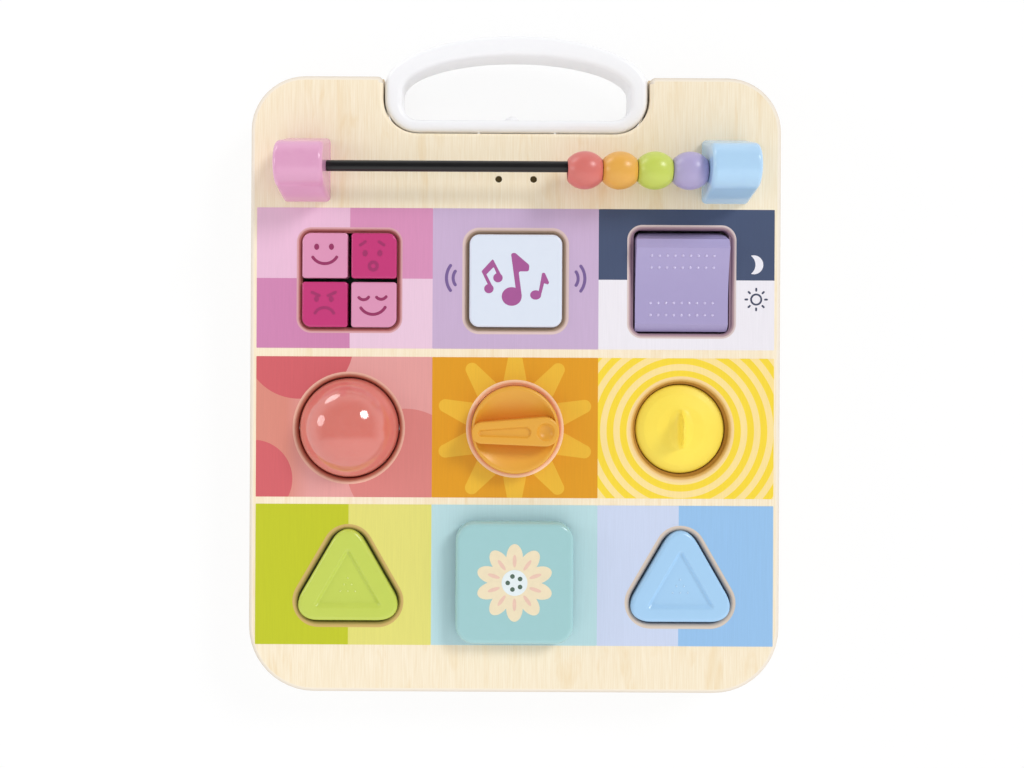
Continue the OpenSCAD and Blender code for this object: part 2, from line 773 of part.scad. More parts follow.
module tile_guide() {
  color("#D9D9D6") translate(tile_at) guide(stem_c, 6 + 0.7 + lip + 0.6, tile_stem_w / 2 + lip + wall + 4, 0);
}

// Rocker

module rocker() {
  half = rocker_len / 2;
  ridge = rocker_ridge / 2;
  slope = half + 1 - ridge;
  bow = (ridge * ridge + rocker_dish * rocker_dish) / (2 * rocker_dish);
  color("#AFA5CA") translate([rocker_at.x, rocker_at.y, pivot_z]) rotate([rocker_tilt, 0, 0]) difference() {
    union() {
      difference() {
        intersection() {
          // the ends are round about the pin
          rotate([90, 0, 90]) linear_extrude(rocker_w, center = true) difference() {
            intersection() {
              circle(half);
              polygon([[-half - 1, -2], [half + 1, -2], [half + 1, rocker_top - slope], [ridge, rocker_top],
                [-ridge, rocker_top], [-half - 1, rocker_top - slope]]);
            }
            translate([0, rocker_top + bow - rocker_dish]) circle(bow);
          }
          translate([0, 0, -3]) linear_extrude(rocker_top + 4)
            round_2d(box_c(rocker_w + 0.02, rocker_len + 0.02, rocker_r), rocker_r);
        }
        rotate([90, 0, 90]) linear_extrude(rocker_w - 2 * wall, center = true)
          polygon([[4.4 - half, -3], [half - 4.4, -3], [half - 4.4, 4], [ridge - 3, rocker_top - 4.5],
            [3 - ridge, rocker_top - 4.5], [4.4 - half, 4]]);
      }
      rotate([0, 90, 0]) cylinder(r = rocker_pin_d / 2 + 2, h = rocker_w - 1, center = true);
    }
    rotate([0, 90, 0]) cylinder(r = rocker_pin_d / 2 + shaft_fit, h = rocker_w + 2, center = true);
  }
}

rocker_in = rocker_w / 2 + rocker_gap;

module rocker_pin() {
  color(steel) translate([rocker_at.x, rocker_at.y, pivot_z]) rotate([0, 90, 0])
    cylinder(d = rocker_pin_d, h = 2 * (rocker_in + wall), center = true);
}

module rocker_guide() {
  c = box_c(2 * rocker_in, rocker_len + 2 * rocker_end_gap, 3);
  color("#D9D9D6") difference() {
    translate(rocker_at) guide(c, 3, rocker_in + wall + 3, -16);
    translate([rocker_at.x, rocker_at.y, pivot_z]) rotate([0, 90, 0])
      cylinder(r = rocker_pin_d / 2 + seat_fit, h = 2 * (rocker_in + wall) + 0.6, center = true);
  }
}

// Ball

module ball_half(side) {
  inner = ball_r - ball_wall;
  boss = axle_d / 2 + 2.4;
  translate([ball_at.x, ball_at.y, axle_z]) mirror([0, 0, side < 0 ? 1 : 0]) difference() {
    union() {
      rotate_extrude() difference() {
        intersection() {
          circle(ball_r);
          square(ball_d);
        }
        circle(inner);
      }
      for (s = [-1, 1])
        intersection() {
          translate([s * (inner - 2.4), 0, 0]) rotate([0, 90, 0]) cylinder(r = boss, h = 6, center = true);
          translate([-ball_d, -ball_d, 0]) cube(2 * ball_d);
        }
    }
    rotate([0, 90, 0]) cylinder(r = axle_d / 2 + shaft_fit, h = ball_d + 2, center = true);
  }
}

module ball_front() color("#D56F62") ball_half(1);
module ball_rear() color("#D56F62") ball_half(-1);

module ball_axle() {
  color(steel) translate([ball_at.x, ball_at.y, axle_z]) rotate([0, 90, 0])
    cylinder(d = axle_d, h = axle_len, center = true);
}

module axle_keepers() {
  reach = ball_r + ball_gap;
  color("#D9D9D6") for (s = [-1, 1])
    translate([ball_at.x + s * (reach + axle_seat / 2), ball_at.y, 0]) {
      translate([-axle_seat / 2 + 0.3, -axle_d / 2, panel_z - 1])
        cube([axle_seat - 0.6, axle_d, axle_z - axle_d / 2 - panel_z + 1]);
      translate([-axle_seat / 2 + 0.3, -9, panel_z - 3]) cube([axle_seat + 1, 18, 3]);
    }
}

// Dial

module dial_knob() {
  r = dial_d / 2;
  tail_r = pointer_tail_w / 2;
  nose_r = pointer_head_w / 2;
  tail_x = -r + tail_r;
  head_x = r - nose_r;
  lean = (nose_r - tail_r) / (head_x - tail_x);
  side = sqrt(1 - lean * lean);
  shaft_r = dial_shaft_d / 2;
  clip_z = pcb_z + 1.2;
  color("#E19D38") translate(dial_at) {
    rotate_extrude()
      polygon([[0, clip_z - 2.5], [shaft_r, clip_z - 2.5], [shaft_r, clip_z], [shaft_r - 1, clip_z],
        [shaft_r - 1, clip_z + 1.4], [shaft_r, clip_z + 1.4], [shaft_r, knob_z], [r, knob_z], [r, knob_top - 2],
        [r - 0.6, knob_top - 0.6], [r - 2, knob_top], [0, knob_top - 2.5]]);
    translate([0, 0, knob_top - 4]) linear_extrude(pointer_rise + 4) {
      translate([tail_x, 0]) circle(tail_r);
      translate([head_x, 0]) circle(nose_r);
      polygon([[tail_x - tail_r * lean, tail_r * side], [tail_x - tail_r * lean, -tail_r * side],
        [head_x - nose_r * lean, -nose_r * side], [head_x - nose_r * lean, nose_r * side]]);
    }
  }
}

module dial_bush() {
  side = dial_d / 2 + dial_gap + 6.5;
  low = pcb_z + 1.2 + 1.4 + run_gap;
  color("#D9D9D6") translate(dial_at) difference() {
    union() {
      translate([0, 0, low]) cylinder(r = dial_shaft_d / 2 + 3, h = panel_z - low);
      translate([0, 0, panel_z - 3]) cylinder(r = dial_d / 2 + dial_gap + 4.5, h = 3);
      for (s = [-1, 1])
        translate([s * side, 0]) boss();
    }
    translate([0, 0, pcb_z]) cylinder(r = dial_shaft_d / 2 + shaft_fit, h = guide_h + 1);
    for (s = [-1, 1])
      translate([s * side, 0]) boss_bore();
  }
}

module dial_clip() {
  color(steel) translate([dial_at.x, dial_at.y, pcb_z + 1.3]) difference() {
    cylinder(r = dial_shaft_d / 2 + 2, h = 1.2);
    translate([0, 0, -1]) cylinder(r = dial_shaft_d / 2 - 1 + seat_fit, h = 4);
    translate([0, -1.5, -1]) cube([20, 3, 4]);
  }
}

// Spinner

fin_levels = 10;
fin_sides = 24;

// The fin is broad at its foot and draws in to a short ridge
module fin() {
  z0 = face_z - 1.5;
  z1 = face_z + fin_rise;
  points = [for (i = [0:fin_levels - 1], k = [0:fin_sides - 1])
    let (t = i / (fin_levels - 1), out = pow(1 - t, 2.2), a = k * 360 / fin_sides)
    [(0.9 + 8.6 * out) * cos(a), (fin_len / 2 - 3 + 6 * out) * sin(a), z0 + (z1 - z0) * t]];
  n = fin_sides;
  faces = [[for (k = [0:n - 1]) k], [for (k = [n - 1:-1:0]) (fin_levels - 1) * n + k],
    for (i = [0:fin_levels - 2], k = [0:n - 1])
      each [[i * n + k, (i + 1) * n + k, i * n + (k + 1) % n],
        [i * n + (k + 1) % n, (i + 1) * n + k, (i + 1) * n + (k + 1) % n]]];
  polyhedron(points, faces);
}

module spinner() {
  r = spinner_d / 2;
  floor_z = pcb_z + 2.5 + run_gap;
  color("#F9DF5A") translate(spinner_at) difference() {
    union() {
      rotate_extrude()
        polygon([[0, floor_z], [5, floor_z], [5, rim_z - 2.5], [r - 0.8, rim_z - 2.5], [r, rim_z - 1.7],
          [r, rim_z - 0.8], [r - 0.8, rim_z], [19.8, rim_z + 2.6], [13.3, rim_z + 4.2], [0, rim_z + 5]]);
      fin();
    }
    translate([0, 0, floor_z - 1]) cylinder(r = spindle_d / 2 + shaft_fit, h = 14);
  }
}

module spinner_spindle() {
  color(steel) translate([spinner_at.x, spinner_at.y, pcb_z]) cylinder(d = spindle_d, h = 15);
}

module spinner_cup() {
  r = spinner_d / 2 + spinner_gap + 1;
  side = spinner_d / 2 + spinner_gap + 5.5;
  color("#D9D9D6") translate(spinner_at) difference() {
    union() {
      translate([0, 0, pcb_z]) cylinder(r = r + wall, h = guide_h);
      for (s = [-1, 1])
        translate([s * side, 0]) boss();
    }
    translate([0, 0, pcb_z + 2.5]) cylinder(r = r, h = guide_h);
    translate([0, 0, pcb_z - 1]) cylinder(r = spindle_d / 2 + seat_fit, h = 5);
    for (s = [-1, 1])
      translate([s * side, 0]) boss_bore();
  }
}

// Electronics

light_spots = [for (sx = [-1, 1], sy = [-1, 1]) face_at + [sx * (face_step + 7.2), sy * (face_step + 7.2)],
  music_at + [0, 14], tile_at + [0, 11], green_at + [0, 11], blue_at + [0, 11]];

module circuit(y) {
  half = col_pitch + 39.5;
  difference() {
    translate([-half, y - board_pad, pcb_z - board_t]) cube([2 * half, 2 * board_pad, board_t]);
    for (p = guide_spots)
      translate([p.x, p.y, 0]) cylinder(r = screw_r + seat_fit, h = panel_z);
  }
}

// An upper and a lower board with the lights that stand on them
module circuit_boards() {
  color("#3F7A4C") {
    circuit(row_y[0]);
    circuit(row_y[2] - 2);
    for (p = light_spots)
      translate([p.x, p.y, pcb_z]) {
        cylinder(r = 1.5, h = 4);
        translate([0, 0, 4]) sphere(r = 1.5);
      }
  }
}

module screw(under, grip) {
  translate([0, 0, -under - head_h]) {
    cylinder(r = head_r, h = head_h);
    cylinder(r = screw_r, h = head_h + under + grip);
  }
}

// Screws into the back of the front panel: guides, posts and handle
module inner_screws() {
  color(steel) {
    for (p = guide_spots)
      translate([p.x, p.y, panel_z]) screw(guide_h + (abs(p.y - row_y[1]) > 1 ? board_t : 0), screw_bite);
    for (p = post_spots)
      translate([p.x, p.y, panel_z]) screw(0, front_t + 10);
    for (s = [-1, 1])
      translate([s * tongue_x, notch_y - rail_w - 5, panel_z]) screw(tongue_t, screw_bite);
  }
}

// Leads: cells to upper board, speaker to upper board, upper board to lower board
lead_r = 1;
lead_sides = 8;
cell_lead = [[46, 100, 15], [46, 100, 18], [46, 96, 21], [46, 86, 21], [46, 80, 18], [46, 80, 14]];
speaker_lead = [[-4, 113, 20], [-4, 113, 17], [-12, 110, 15], [-36, 98, 16], [-46, 90, 19], [-46, 80, 18],
  [-46, 80, 14]];
board_lead = [[46, 36, 14], [46, 36, 18], [46, 30, 20], [46, 0, 20], [46, -40, 20], [46, -78, 20],
  [46, -86, 18], [46, -86, 14]];
function unit(v) = v / norm(v);
function curve(p) = [
  for (i = [0:len(p) - 2], k = [0:3])
    let (a = p[max(i - 1, 0)], b = p[i], c = p[i + 1], d = p[min(i + 2, len(p) - 1)], t = k / 4)
    b + t * (c - a) / 2 + t * t * (a - 2.5 * b + 2 * c - d / 2)
      + t * t * t * (-a / 2 + 1.5 * b - 1.5 * c + d / 2),
  p[len(p) - 1]];

module lead(route, side) {
  p = curve(route);
  n = len(p);
  m = lead_sides;
  points = [for (i = [0:n - 1], k = [0:m - 1])
    let (run = i == 0 ? [0, 0, p[1].z - p[0].z] : i == n - 1 ? [0, 0, p[n - 1].z - p[n - 2].z]
        : p[i + 1] - p[i - 1],
      u = unit(cross(run, side)), v = unit(cross(unit(run), u)), a = k * 360 / m)
    p[i] + lead_r * (u * cos(a) + v * sin(a))];
  faces = [[for (k = [0:m - 1]) k], [for (k = [m - 1:-1:0]) (n - 1) * m + k],
    for (i = [0:n - 2], k = [0:m - 1])
      each [[i * m + k, (i + 1) * m + k, i * m + (k + 1) % m],
        [i * m + (k + 1) % m, (i + 1) * m + k, (i + 1) * m + (k + 1) % m]]];
  polyhedron(points, faces);
}

module wiring() {
  color("#C8352E") {
    lead(cell_lead, [1, 0, 0]);
    lead(speaker_lead, [0, 1, 0]);
    lead(board_lead, [1, 0, 0]);
  }
}

module speaker() {
  color("#3A3A3C") translate([0, rod_y - 4.5, panel_z]) rotate([180, 0, 0]) rotate_extrude()
    polygon([[0, 2.5], [6, 2.5], [11.5, 0.6], [11.5, 0], [13.5, 0], [13.5, 2], [9, 6], [9, 9], [0, 9]]);
}

door_screw_x = box_w / 2 - 2.6;
door_t = 2;
door_z = 0.4;

module battery_box() {
  top = cell_z + cell_d / 2 + 0.3;
  color("#4A4A4D") translate([power_x, box_y, 0]) difference() {
    translate([-box_w / 2 - 2, -box_h / 2 - 2, back_t]) cube([box_w + 4, box_h + 4, top + 1.6 - back_t]);
    translate([-cell_len / 2 - 2, -box_h / 2, back_t - 1]) cube([cell_len + 4, box_h, top - back_t + 1]);
    for (s = [-1, 1])
      translate([s * door_screw_x, 0, back_t - 1]) cylinder(r = 1.1 + seat_fit, h = 7.3);
  }
}

module cells() {
  color("#5E86B8") for (i = [-1:1])
    translate([power_x - cell_len / 2, box_y + i * (cell_d + 0.4), cell_z]) rotate([0, 90, 0]) {
      cylinder(d = cell_d, h = cell_len - 1);
      cylinder(d = 3.8, h = cell_len);
    }
}

module battery_contacts() {
  color(steel) for (i = [-1:1], s = [-1, 1])
    translate([power_x + s * (cell_len / 2 + 1.4), box_y + i * (cell_d + 0.4), cell_z]) {
      cube([0.8, 8, 8], center = true);
      rotate([0, -s * 90, 0]) cylinder(r1 = 3, r2 = 1.6, h = 1.4);
    }
}

module battery_door() {
  color("#EFEDE6") translate([power_x, box_y, 0]) difference() {
    union() {
      translate([-box_w / 2, -box_h / 2, door_z]) cube([box_w, box_h, door_t]);
      for (s = [-1, 1])
        translate([s * door_screw_x - 2.4, -4, door_z]) cube([4.8, 8, back_t - door_z]);
    }
    for (s = [-1, 1])
      translate([s * door_screw_x, 0, 0]) {
        cylinder(r = 1.1 + seat_fit, h = 10);
        cylinder(r = 2, h = 1.5);
      }
  }
}

module door_screws() {
  color(steel) for (s = [-1, 1])
    translate([power_x + s * door_screw_x, box_y, 0]) {
      translate([0, 0, 0.5]) cylinder(r = 1.9, h = 1);
      translate([0, 0, 0.5]) cylinder(r = 1.1, h = back_t + 4);
    }
}

slider_w = 6;

module power_switch() {
  room = slider_w + slider_travel + 2;
  color("#3A3A3C") translate([slider_at.x, slider_at.y, 0]) difference() {
    translate([-room / 2 - 3, -5.5, back_t]) cube([room + 6, 11, 6]);
    translate([-room / 2, -3.6, back_t - 1]) cube([room, 7.2, 3.4]);
  }
}

// The slider rests at the left end of its travel
module power_slider() {
  color("#F0EEE8") translate([slider_at.x - slider_travel / 2 - slider_w / 2, slider_at.y, 0]) {
    translate([0, -2, 0.6]) cube([slider_w, 4, back_t + 1.4]);
    translate([0, -3.2, back_t + run_gap]) cube([slider_w, 6.4, 1.7]);
  }
}

front_panel();
left_rail();
right_rail();
bottom_rail();
top_rail();
back_panel();
back_screws();
handle();
left_post();
right_post();
inner_screws();
bead_rod();
red_bead();
orange_bead();
green_bead();
purple_bead();
happy_button();
surprised_button();
cross_button();
calm_button();
happy_dome();
surprised_dome();
cross_dome();
calm_dome();
face_guide();
music_button();
music_dome();
music_guide();
rocker();
rocker_pin();
rocker_guide();
ball_front();
ball_rear();
ball_axle();
axle_keepers();
dial_knob();
dial_bush();
dial_clip();
spinner();
spinner_spindle();
spinner_cup();
green_button();
green_dome();
green_guide();
blue_button();
blue_dome();
blue_guide();
tile_button();
tile_dome();
tile_guide();
circuit_boards();
wiring();
speaker();
battery_box();
cells();
battery_contacts();
battery_door();
door_screws();
power_switch();
power_slider();
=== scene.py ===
import math
import bmesh
import bpy
from mathutils import Matrix, Vector


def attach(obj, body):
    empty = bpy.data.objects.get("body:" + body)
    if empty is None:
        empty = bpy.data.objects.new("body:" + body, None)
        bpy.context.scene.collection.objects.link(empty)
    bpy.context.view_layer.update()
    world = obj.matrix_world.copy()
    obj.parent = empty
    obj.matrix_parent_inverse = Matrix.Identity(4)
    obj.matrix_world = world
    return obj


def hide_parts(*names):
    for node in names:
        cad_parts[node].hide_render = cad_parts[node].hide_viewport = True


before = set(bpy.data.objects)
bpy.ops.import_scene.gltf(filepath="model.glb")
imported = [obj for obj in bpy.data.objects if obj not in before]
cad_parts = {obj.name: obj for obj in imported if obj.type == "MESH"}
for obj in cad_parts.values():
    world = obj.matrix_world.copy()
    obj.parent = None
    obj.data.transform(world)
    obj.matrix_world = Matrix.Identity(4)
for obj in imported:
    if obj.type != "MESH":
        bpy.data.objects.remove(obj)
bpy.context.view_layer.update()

mm = 0.001
scene = bpy.context.scene
scene.view_settings.view_transform = "Standard"

# board face and the middles of the nine controls, in millimetres
faceZ = 38.0
columns = (-91.3, 0.0, 91.3)
rows = (57.0, -24.2, -105.4)


def linear(hexColour):
    parts = [int(hexColour[i:i + 2], 16) / 255 for i in (1, 3, 5)]
    return [c / 12.92 if c <= 0.04045 else ((c + 0.055) / 1.055) ** 2.4 for c in parts] + [1.0]


def addNode(tree, kind, inputs={}, **settings):
    # an input is linked to a socket, or set to a number or colour
    node = tree.nodes.new(kind)
    for key, value in settings.items():
        setattr(node, key, value)
    for key, value in inputs.items():
        if isinstance(value, bpy.types.NodeSocket):
            tree.links.new(value, node.inputs[key])
        else:
            node.inputs[key].default_value = value
    return node


def startMaterial(name):
    # a material with Object coordinates turned to millimetres
    material = bpy.data.materials.new(name)
    material.use_nodes = True
    tree = material.node_tree
    tree.nodes.clear()
    where = addNode(tree, "ShaderNodeTexCoord")
    place = addNode(tree, "ShaderNodeMapping", {
        "Vector": where.outputs["Object"], "Scale": (1000, 1000, 1000)})
    return material, tree, place.outputs["Vector"]


def closeMaterial(tree, inputs):
    skin = addNode(tree, "ShaderNodeBsdfPrincipled", inputs)
    addNode(tree, "ShaderNodeOutputMaterial", {"Surface": skin.outputs[0]})


# materials

birch = dict(pale="#FAEDD4", deep="#F3E2C2", streak="#EDD2A2", railPale="#F3E2C6", railDeep="#E3CBA3",
             fibre=0.5, length=18.0, depth=3.0, figure=9.0, stretch=5.0, rough=0.42)


def birchGrain(tree, place):
    # fibres run up the board, drawn about half a millimetre wide so that they show
    fine = addNode(tree, "ShaderNodeMapping", {
        "Vector": place, "Scale": (1 / birch["fibre"], 1 / birch["length"], 1 / birch["depth"])})
    fibre = addNode(tree, "ShaderNodeTexNoise", {
        "Vector": fine.outputs[0], "Scale": 1.0, "Detail": 2.0, "Roughness": 0.55})
    wide = birch["figure"]
    broad = addNode(tree, "ShaderNodeMapping", {
        "Vector": place, "Scale": (1 / wide, 1 / (wide * birch["stretch"]), 1 / wide)})
    figure = addNode(tree, "ShaderNodeTexNoise", {
        "Vector": broad.outputs[0], "Scale": 1.0, "Detail": 3.0, "Roughness": 0.6, "Distortion": 0.6})
    return fibre.outputs["Fac"], figure.outputs["Fac"]


def makeBirch(name, pale, deep):
    # birch veneer under satin lacquer: cream, fine upright lines and a few amber streaks
    material, tree, place = startMaterial(name)
    fibre, figure = birchGrain(tree, place)
    lines = addNode(tree, "ShaderNodeMapRange", {"Value": fibre, "From Min": 0.32, "From Max": 0.68})
    ground = addNode(tree, "ShaderNodeMix", {0: lines.outputs[0], 6: linear(deep), 7: linear(pale)},
                     data_type="RGBA")
    amber = addNode(tree, "ShaderNodeMapRange", {
        "Value": figure, "From Min": 0.56, "From Max": 0.78, "To Max": 0.7})
    wood = addNode(tree, "ShaderNodeMix", {
        0: amber.outputs[0], 6: ground.outputs[2], 7: linear(birch["streak"])}, data_type="RGBA")
    gloss = addNode(tree, "ShaderNodeMapRange", {
        "Value": fibre, "To Min": birch["rough"] - 0.05, "To Max": birch["rough"] + 0.08})
    pores = addNode(tree, "ShaderNodeBump", {"Height": fibre, "Strength": 0.12, "Distance": 0.0001})
    closeMaterial(tree, {"Base Color": wood.outputs[2], "Roughness": gloss.outputs[0],
                         "Normal": pores.outputs[0], "IOR": 1.5})
    return material


faceBirch = makeBirch("lacqueredBirchPlywood", birch["pale"], birch["deep"])
railBirch = makeBirch("birchRails", birch["railPale"], birch["railDeep"])

# pale, middle and deep tone of the edge of each hole, row by row, and of the board's outer edge; the deep
# tones are painted shade low in the hole, and each hole's tint is painted reflected colour from its piece
cutEdgeAndShade = dict(
    drop=1.8, middleAt=0.85, ply=1.5, rough=0.6,
    tones=dict(rosy=("#DCA9AE", "#B3706C", "#A0504E"), umber=("#DCC3BE", "#B0957F", "#947C68"),
               mauve=("#DDCCC9", "#B4969A", "#92748A"), russet=("#ECB8A4", "#C88A74", "#C05E4C"),
               honey=("#FFE0BC", "#FFDDB8", "#FBCB98"), golden=("#F6D699", "#DDB060", "#AE7A2C"),
               olive=("#D0B068", "#A8924E", "#605E2A"), sandy=("#E8D2AE", "#C8A880", "#94744C"),
               slate=("#D9C9BA", "#BBAEA4", "#5C6676"), rim=("#F6EAD6", "#E6DCCE", "#D8CAB6")))


def makeCutEdgeAndShade(name, pale, middle, deep):
    # rounded edge of plywood: pale at the face and darker below, partly browner end grain and partly painted
    # shade deeper in the hole, tinted with painted reflected colour from the piece it holds
    material, tree, place = startMaterial(name)
    apart = addNode(tree, "ShaderNodeSeparateXYZ", {0: place})
    height = addNode(tree, "ShaderNodeMapRange", {
        "Value": apart.outputs["Z"], "From Min": faceZ - cutEdgeAndShade["drop"], "From Max": faceZ})
    tone = addNode(tree, "ShaderNodeValToRGB", {0: height.outputs[0]})
    stops = tone.color_ramp.elements
    # painted shade: the deep tone lies lowest, where the hole is in shade
    stops[0].color = linear(deep)
    stops[1].color = linear(pale)
    stops.new(cutEdgeAndShade["middleAt"]).color = linear(middle)
    ply = addNode(tree, "ShaderNodeMath", {0: apart.outputs["Z"], 1: cutEdgeAndShade["ply"]}, operation="PINGPONG")
    shade = addNode(tree, "ShaderNodeMapRange", {
        "Value": ply.outputs[0], "From Max": cutEdgeAndShade["ply"], "To Min": 0.9, "To Max": 1.05})
    wood = addNode(tree, "ShaderNodeVectorMath", {"Vector": tone.outputs[0], "Scale": shade.outputs[0]},
                   operation="SCALE")
    closeMaterial(tree, {"Base Color": wood.outputs[0], "Roughness": cutEdgeAndShade["rough"], "IOR": 1.5})
    return material


cutBirchAndShade = [makeCutEdgeAndShade(name + "BirchEdgeAndPaintedShade", *tones) for name, tones in cutEdgeAndShade["tones"].items()]

mould = dict(flow=6.0, glossSwing=0.03, scatter=(1.0, 0.6, 0.4))


def makePlastic(name, colour, deep, rough, soft=0.0, coat=0.0, lowShade=None):
    # injection moulded ABS: even colour, a soft gloss and the faint waves that a mould leaves
    material, tree, place = startMaterial(name)
    flow = addNode(tree, "ShaderNodeTexNoise", {"Vector": place, "Scale": 1 / mould["flow"], "Detail": 2.0})
    tint = addNode(tree, "ShaderNodeMix", {0: flow.outputs["Fac"], 6: linear(colour), 7: linear(deep)},
                   data_type="RGBA")
    if lowShade:
        # painted shade: a deeper, warmer tone where the surface lies low, standing in for the shade in the
        # hollows
        warm, low, high = lowShade
        apart = addNode(tree, "ShaderNodeSeparateXYZ", {0: place})
        raised = addNode(tree, "ShaderNodeMapRange", {
            "Value": apart.outputs["Z"], "From Min": low, "From Max": high})
        tint = addNode(tree, "ShaderNodeMix", {0: raised.outputs[0], 6: linear(warm), 7: tint.outputs[2]},
                       data_type="RGBA")
    gloss = addNode(tree, "ShaderNodeMapRange", {
        "Value": flow.outputs["Fac"], "From Min": 0.3, "From Max": 0.7,
        "To Min": rough - mould["glossSwing"], "To Max": rough + mould["glossSwing"]})
    waves = addNode(tree, "ShaderNodeBump", {
        "Height": flow.outputs["Fac"], "Strength": 0.015, "Distance": 0.0002})
    closeMaterial(tree, {
        "Base Color": tint.outputs[2], "Roughness": gloss.outputs[0], "Normal": waves.outputs[0], "IOR": 1.53,
        "Subsurface Weight": soft, "Subsurface Radius": mould["scatter"], "Subsurface Scale": 0.003,
        "Coat Weight": coat, "Coat Roughness": 0.05})
    return material


def makeMetal(name, colour, rough, stretch):
    # drawn or plated metal: fine lines along the part that spread the gloss
    material, tree, place = startMaterial(name)
    draw = addNode(tree, "ShaderNodeMapping", {"Vector": place, "Scale": stretch})
    lines = addNode(tree, "ShaderNodeTexNoise", {"Vector": draw.outputs[0], "Scale": 1.0, "Detail": 3.0})
    gloss = addNode(tree, "ShaderNodeMapRange", {
        "Value": lines.outputs["Fac"], "To Min": rough - 0.08, "To Max": rough + 0.1})
    closeMaterial(tree, {"Base Color": linear(colour), "Metallic": 1.0, "Roughness": gloss.outputs[0]})
    return material


# name, colour, colour of the flow marks, roughness, scatter, clear coat, painted shade in low hollows
# (colour, low and high height)
plastics = {key: makePlastic(*finish) for key, finish in dict(
    white=("whiteMouldedPlastic", "#F7F7F9", "#F4F4F7", 0.32),
    pinkPost=("pinkGlossPaintedBeech", "#DEA3C4", "#DA9ABF", 0.22, 0.0, 0.2),
    bluePost=("blueGlossPaintedBeech", "#B2D7F4", "#ADD1F1", 0.22, 0.0, 0.2),
    pink=("pinkMouldedPlastic", "#DD97B9", "#DB93B6", 0.24),
    magenta=("magentaMouldedPlastic", "#C73B7A", "#C33676", 0.22),
    paleBlue=("paleBlueMouldedPlastic", "#DEE6F3", "#DAE2F0", 0.32),
    lavender=("lavenderMouldedPlastic", "#ABA0CB", "#A79CC8", 0.32),
    coral=("coralTranslucentPlastic", "#D97D72", "#D5766B", 0.1, 0.2, 0.8),
    # the dial is painted a deeper orange low in its scoops beside the pointer: painted shade
    amber=("amberTranslucentPlastic", "#E6A83A", "#E3A335", 0.4, 0.0, 0.0, ("#DE7A28", 41.0, 46.5)),
    yellow=("yellowTranslucentPlastic", "#FFE755", "#FEE24C", 0.45),
    lime=("limeMouldedPlastic", "#C6D55C", "#C2D156", 0.24),
    # the dots are their button's own plastic painted lighter: a painted highlight for the light their small
    # domes catch
    limeDot=("limePlasticPaintedHighlight", "#D8E380", "#D4E07A", 0.15),
    skyDot=("skyPlasticPaintedHighlight", "#BEDDF6", "#BADAF4", 0.15),
    lavenderDot=("lavenderPlasticPaintedHighlight", "#CDC4E6", "#C9C0E3", 0.15),
    sky=("skyMouldedPlastic", "#A8D1F3", "#A4CDF0", 0.24),
    teal=("tealMouldedPlastic", "#A2CDD0", "#9ECACC", 0.2),
    red=("redLacqueredBead", "#D8766E", "#D3706A", 0.32, 0.05),
    orange=("orangeLacqueredBead", "#E8AE4E", "#E3A747", 0.32, 0.05),
    green=("greenLacqueredBead", "#C8D560", "#C2D058", 0.32, 0.05),
    purple=("purpleLacqueredBead", "#B3A9D0", "#ADA2CC", 0.32, 0.05),
    grey=("greyMouldedPlastic", "#D2D2CF", "#C9C9C6", 0.4),
    dark=("darkMouldedPlastic", "#3A3A3C", "#333335", 0.45),
    silicone=("siliconeRubber", "#E4E1DA", "#DCD8D0", 0.55, 0.1),
    circuit=("greenCircuitBoard", "#2F6B45", "#28603D", 0.35),
    insulation=("redWireInsulation", "#B23A34", "#A8332E", 0.4),
    cell=("cellWrap", "#4A4F58", "#42474F", 0.3),
    cloth=("oliveSpeakerCloth", "#5E5132", "#54482C", 0.9)).items()}
steel = makeMetal("drawnSteel", "#C4C6C8", 0.28, (0.05, 3.0, 3.0))
blackSteel = makePlastic("blackEnamelledSteel", "#0B0B0C", "#0F0E10", 0.35)
print("materials made")


# shapes

# handles of a flat curve: for a quarter of a circle, and at the end of a straight line
quarterPull, linePull = 0.5523, 0.01


def fillet(corners):
    # knots (point, left handle, right handle) of an outline whose corners (x, y, radius) are rounded
    knots = []
    for i, corner in enumerate(corners):
        here = Vector((*corner[:2], 0))
        back = (Vector((*corners[i - 1][:2], 0)) - here).normalized()
        ahead = (Vector((*corners[(i + 1) % len(corners)][:2], 0)) - here).normalized()
        r = corner[2] if len(corner) > 2 else 0.0
        if not r:
            knots.append((here, here + back * linePull, here + ahead * linePull))
            continue
        turn = math.pi - back.angle(ahead)
        reach, pull = r * math.tan(turn / 2), r * math.tan(turn / 4) * 4 / 3
        start, end = here + back * reach, here + ahead * reach
        knots.append((start, start + back * linePull, start - back * pull))
        knots.append((end, end - ahead * pull, end + ahead * linePull))
    return knots


def box(x, y, w, h, r):
    return [(x + a * w / 2, y + b * h / 2, r) for a, b in ((-1, -1), (1, -1), (1, 1), (-1, 1))]


def square(x, y, w, h, r):
    return fillet(box(x, y, w, h, r))


def ring(x, y, rx, ry=None):
    ry = ry or rx
    middle = Vector((x, y, 0))
    knots = []
    for quarter in range(4):
        a = quarter * math.pi / 2
        out = Vector((math.cos(a) * rx, math.sin(a) * ry, 0))
        along = Vector((-math.sin(a) * rx, math.cos(a) * ry, 0)) * quarterPull
        knots.append((middle + out, middle + out - along, middle + out + along))
    return knots


def triangle(x, y, side, r):
    # centres of the rounded corners stand at the points of a triangle, the outline is r outside them
    tall = side * math.sqrt(3) / 2
    far = side / math.sqrt(3) + 2 * r
    low = tall / 2 - side / math.sqrt(3)
    return [(x + far * math.cos(a), y + low + far * math.sin(a), r)
            for a in (math.radians(90), math.radians(210), math.radians(330))]


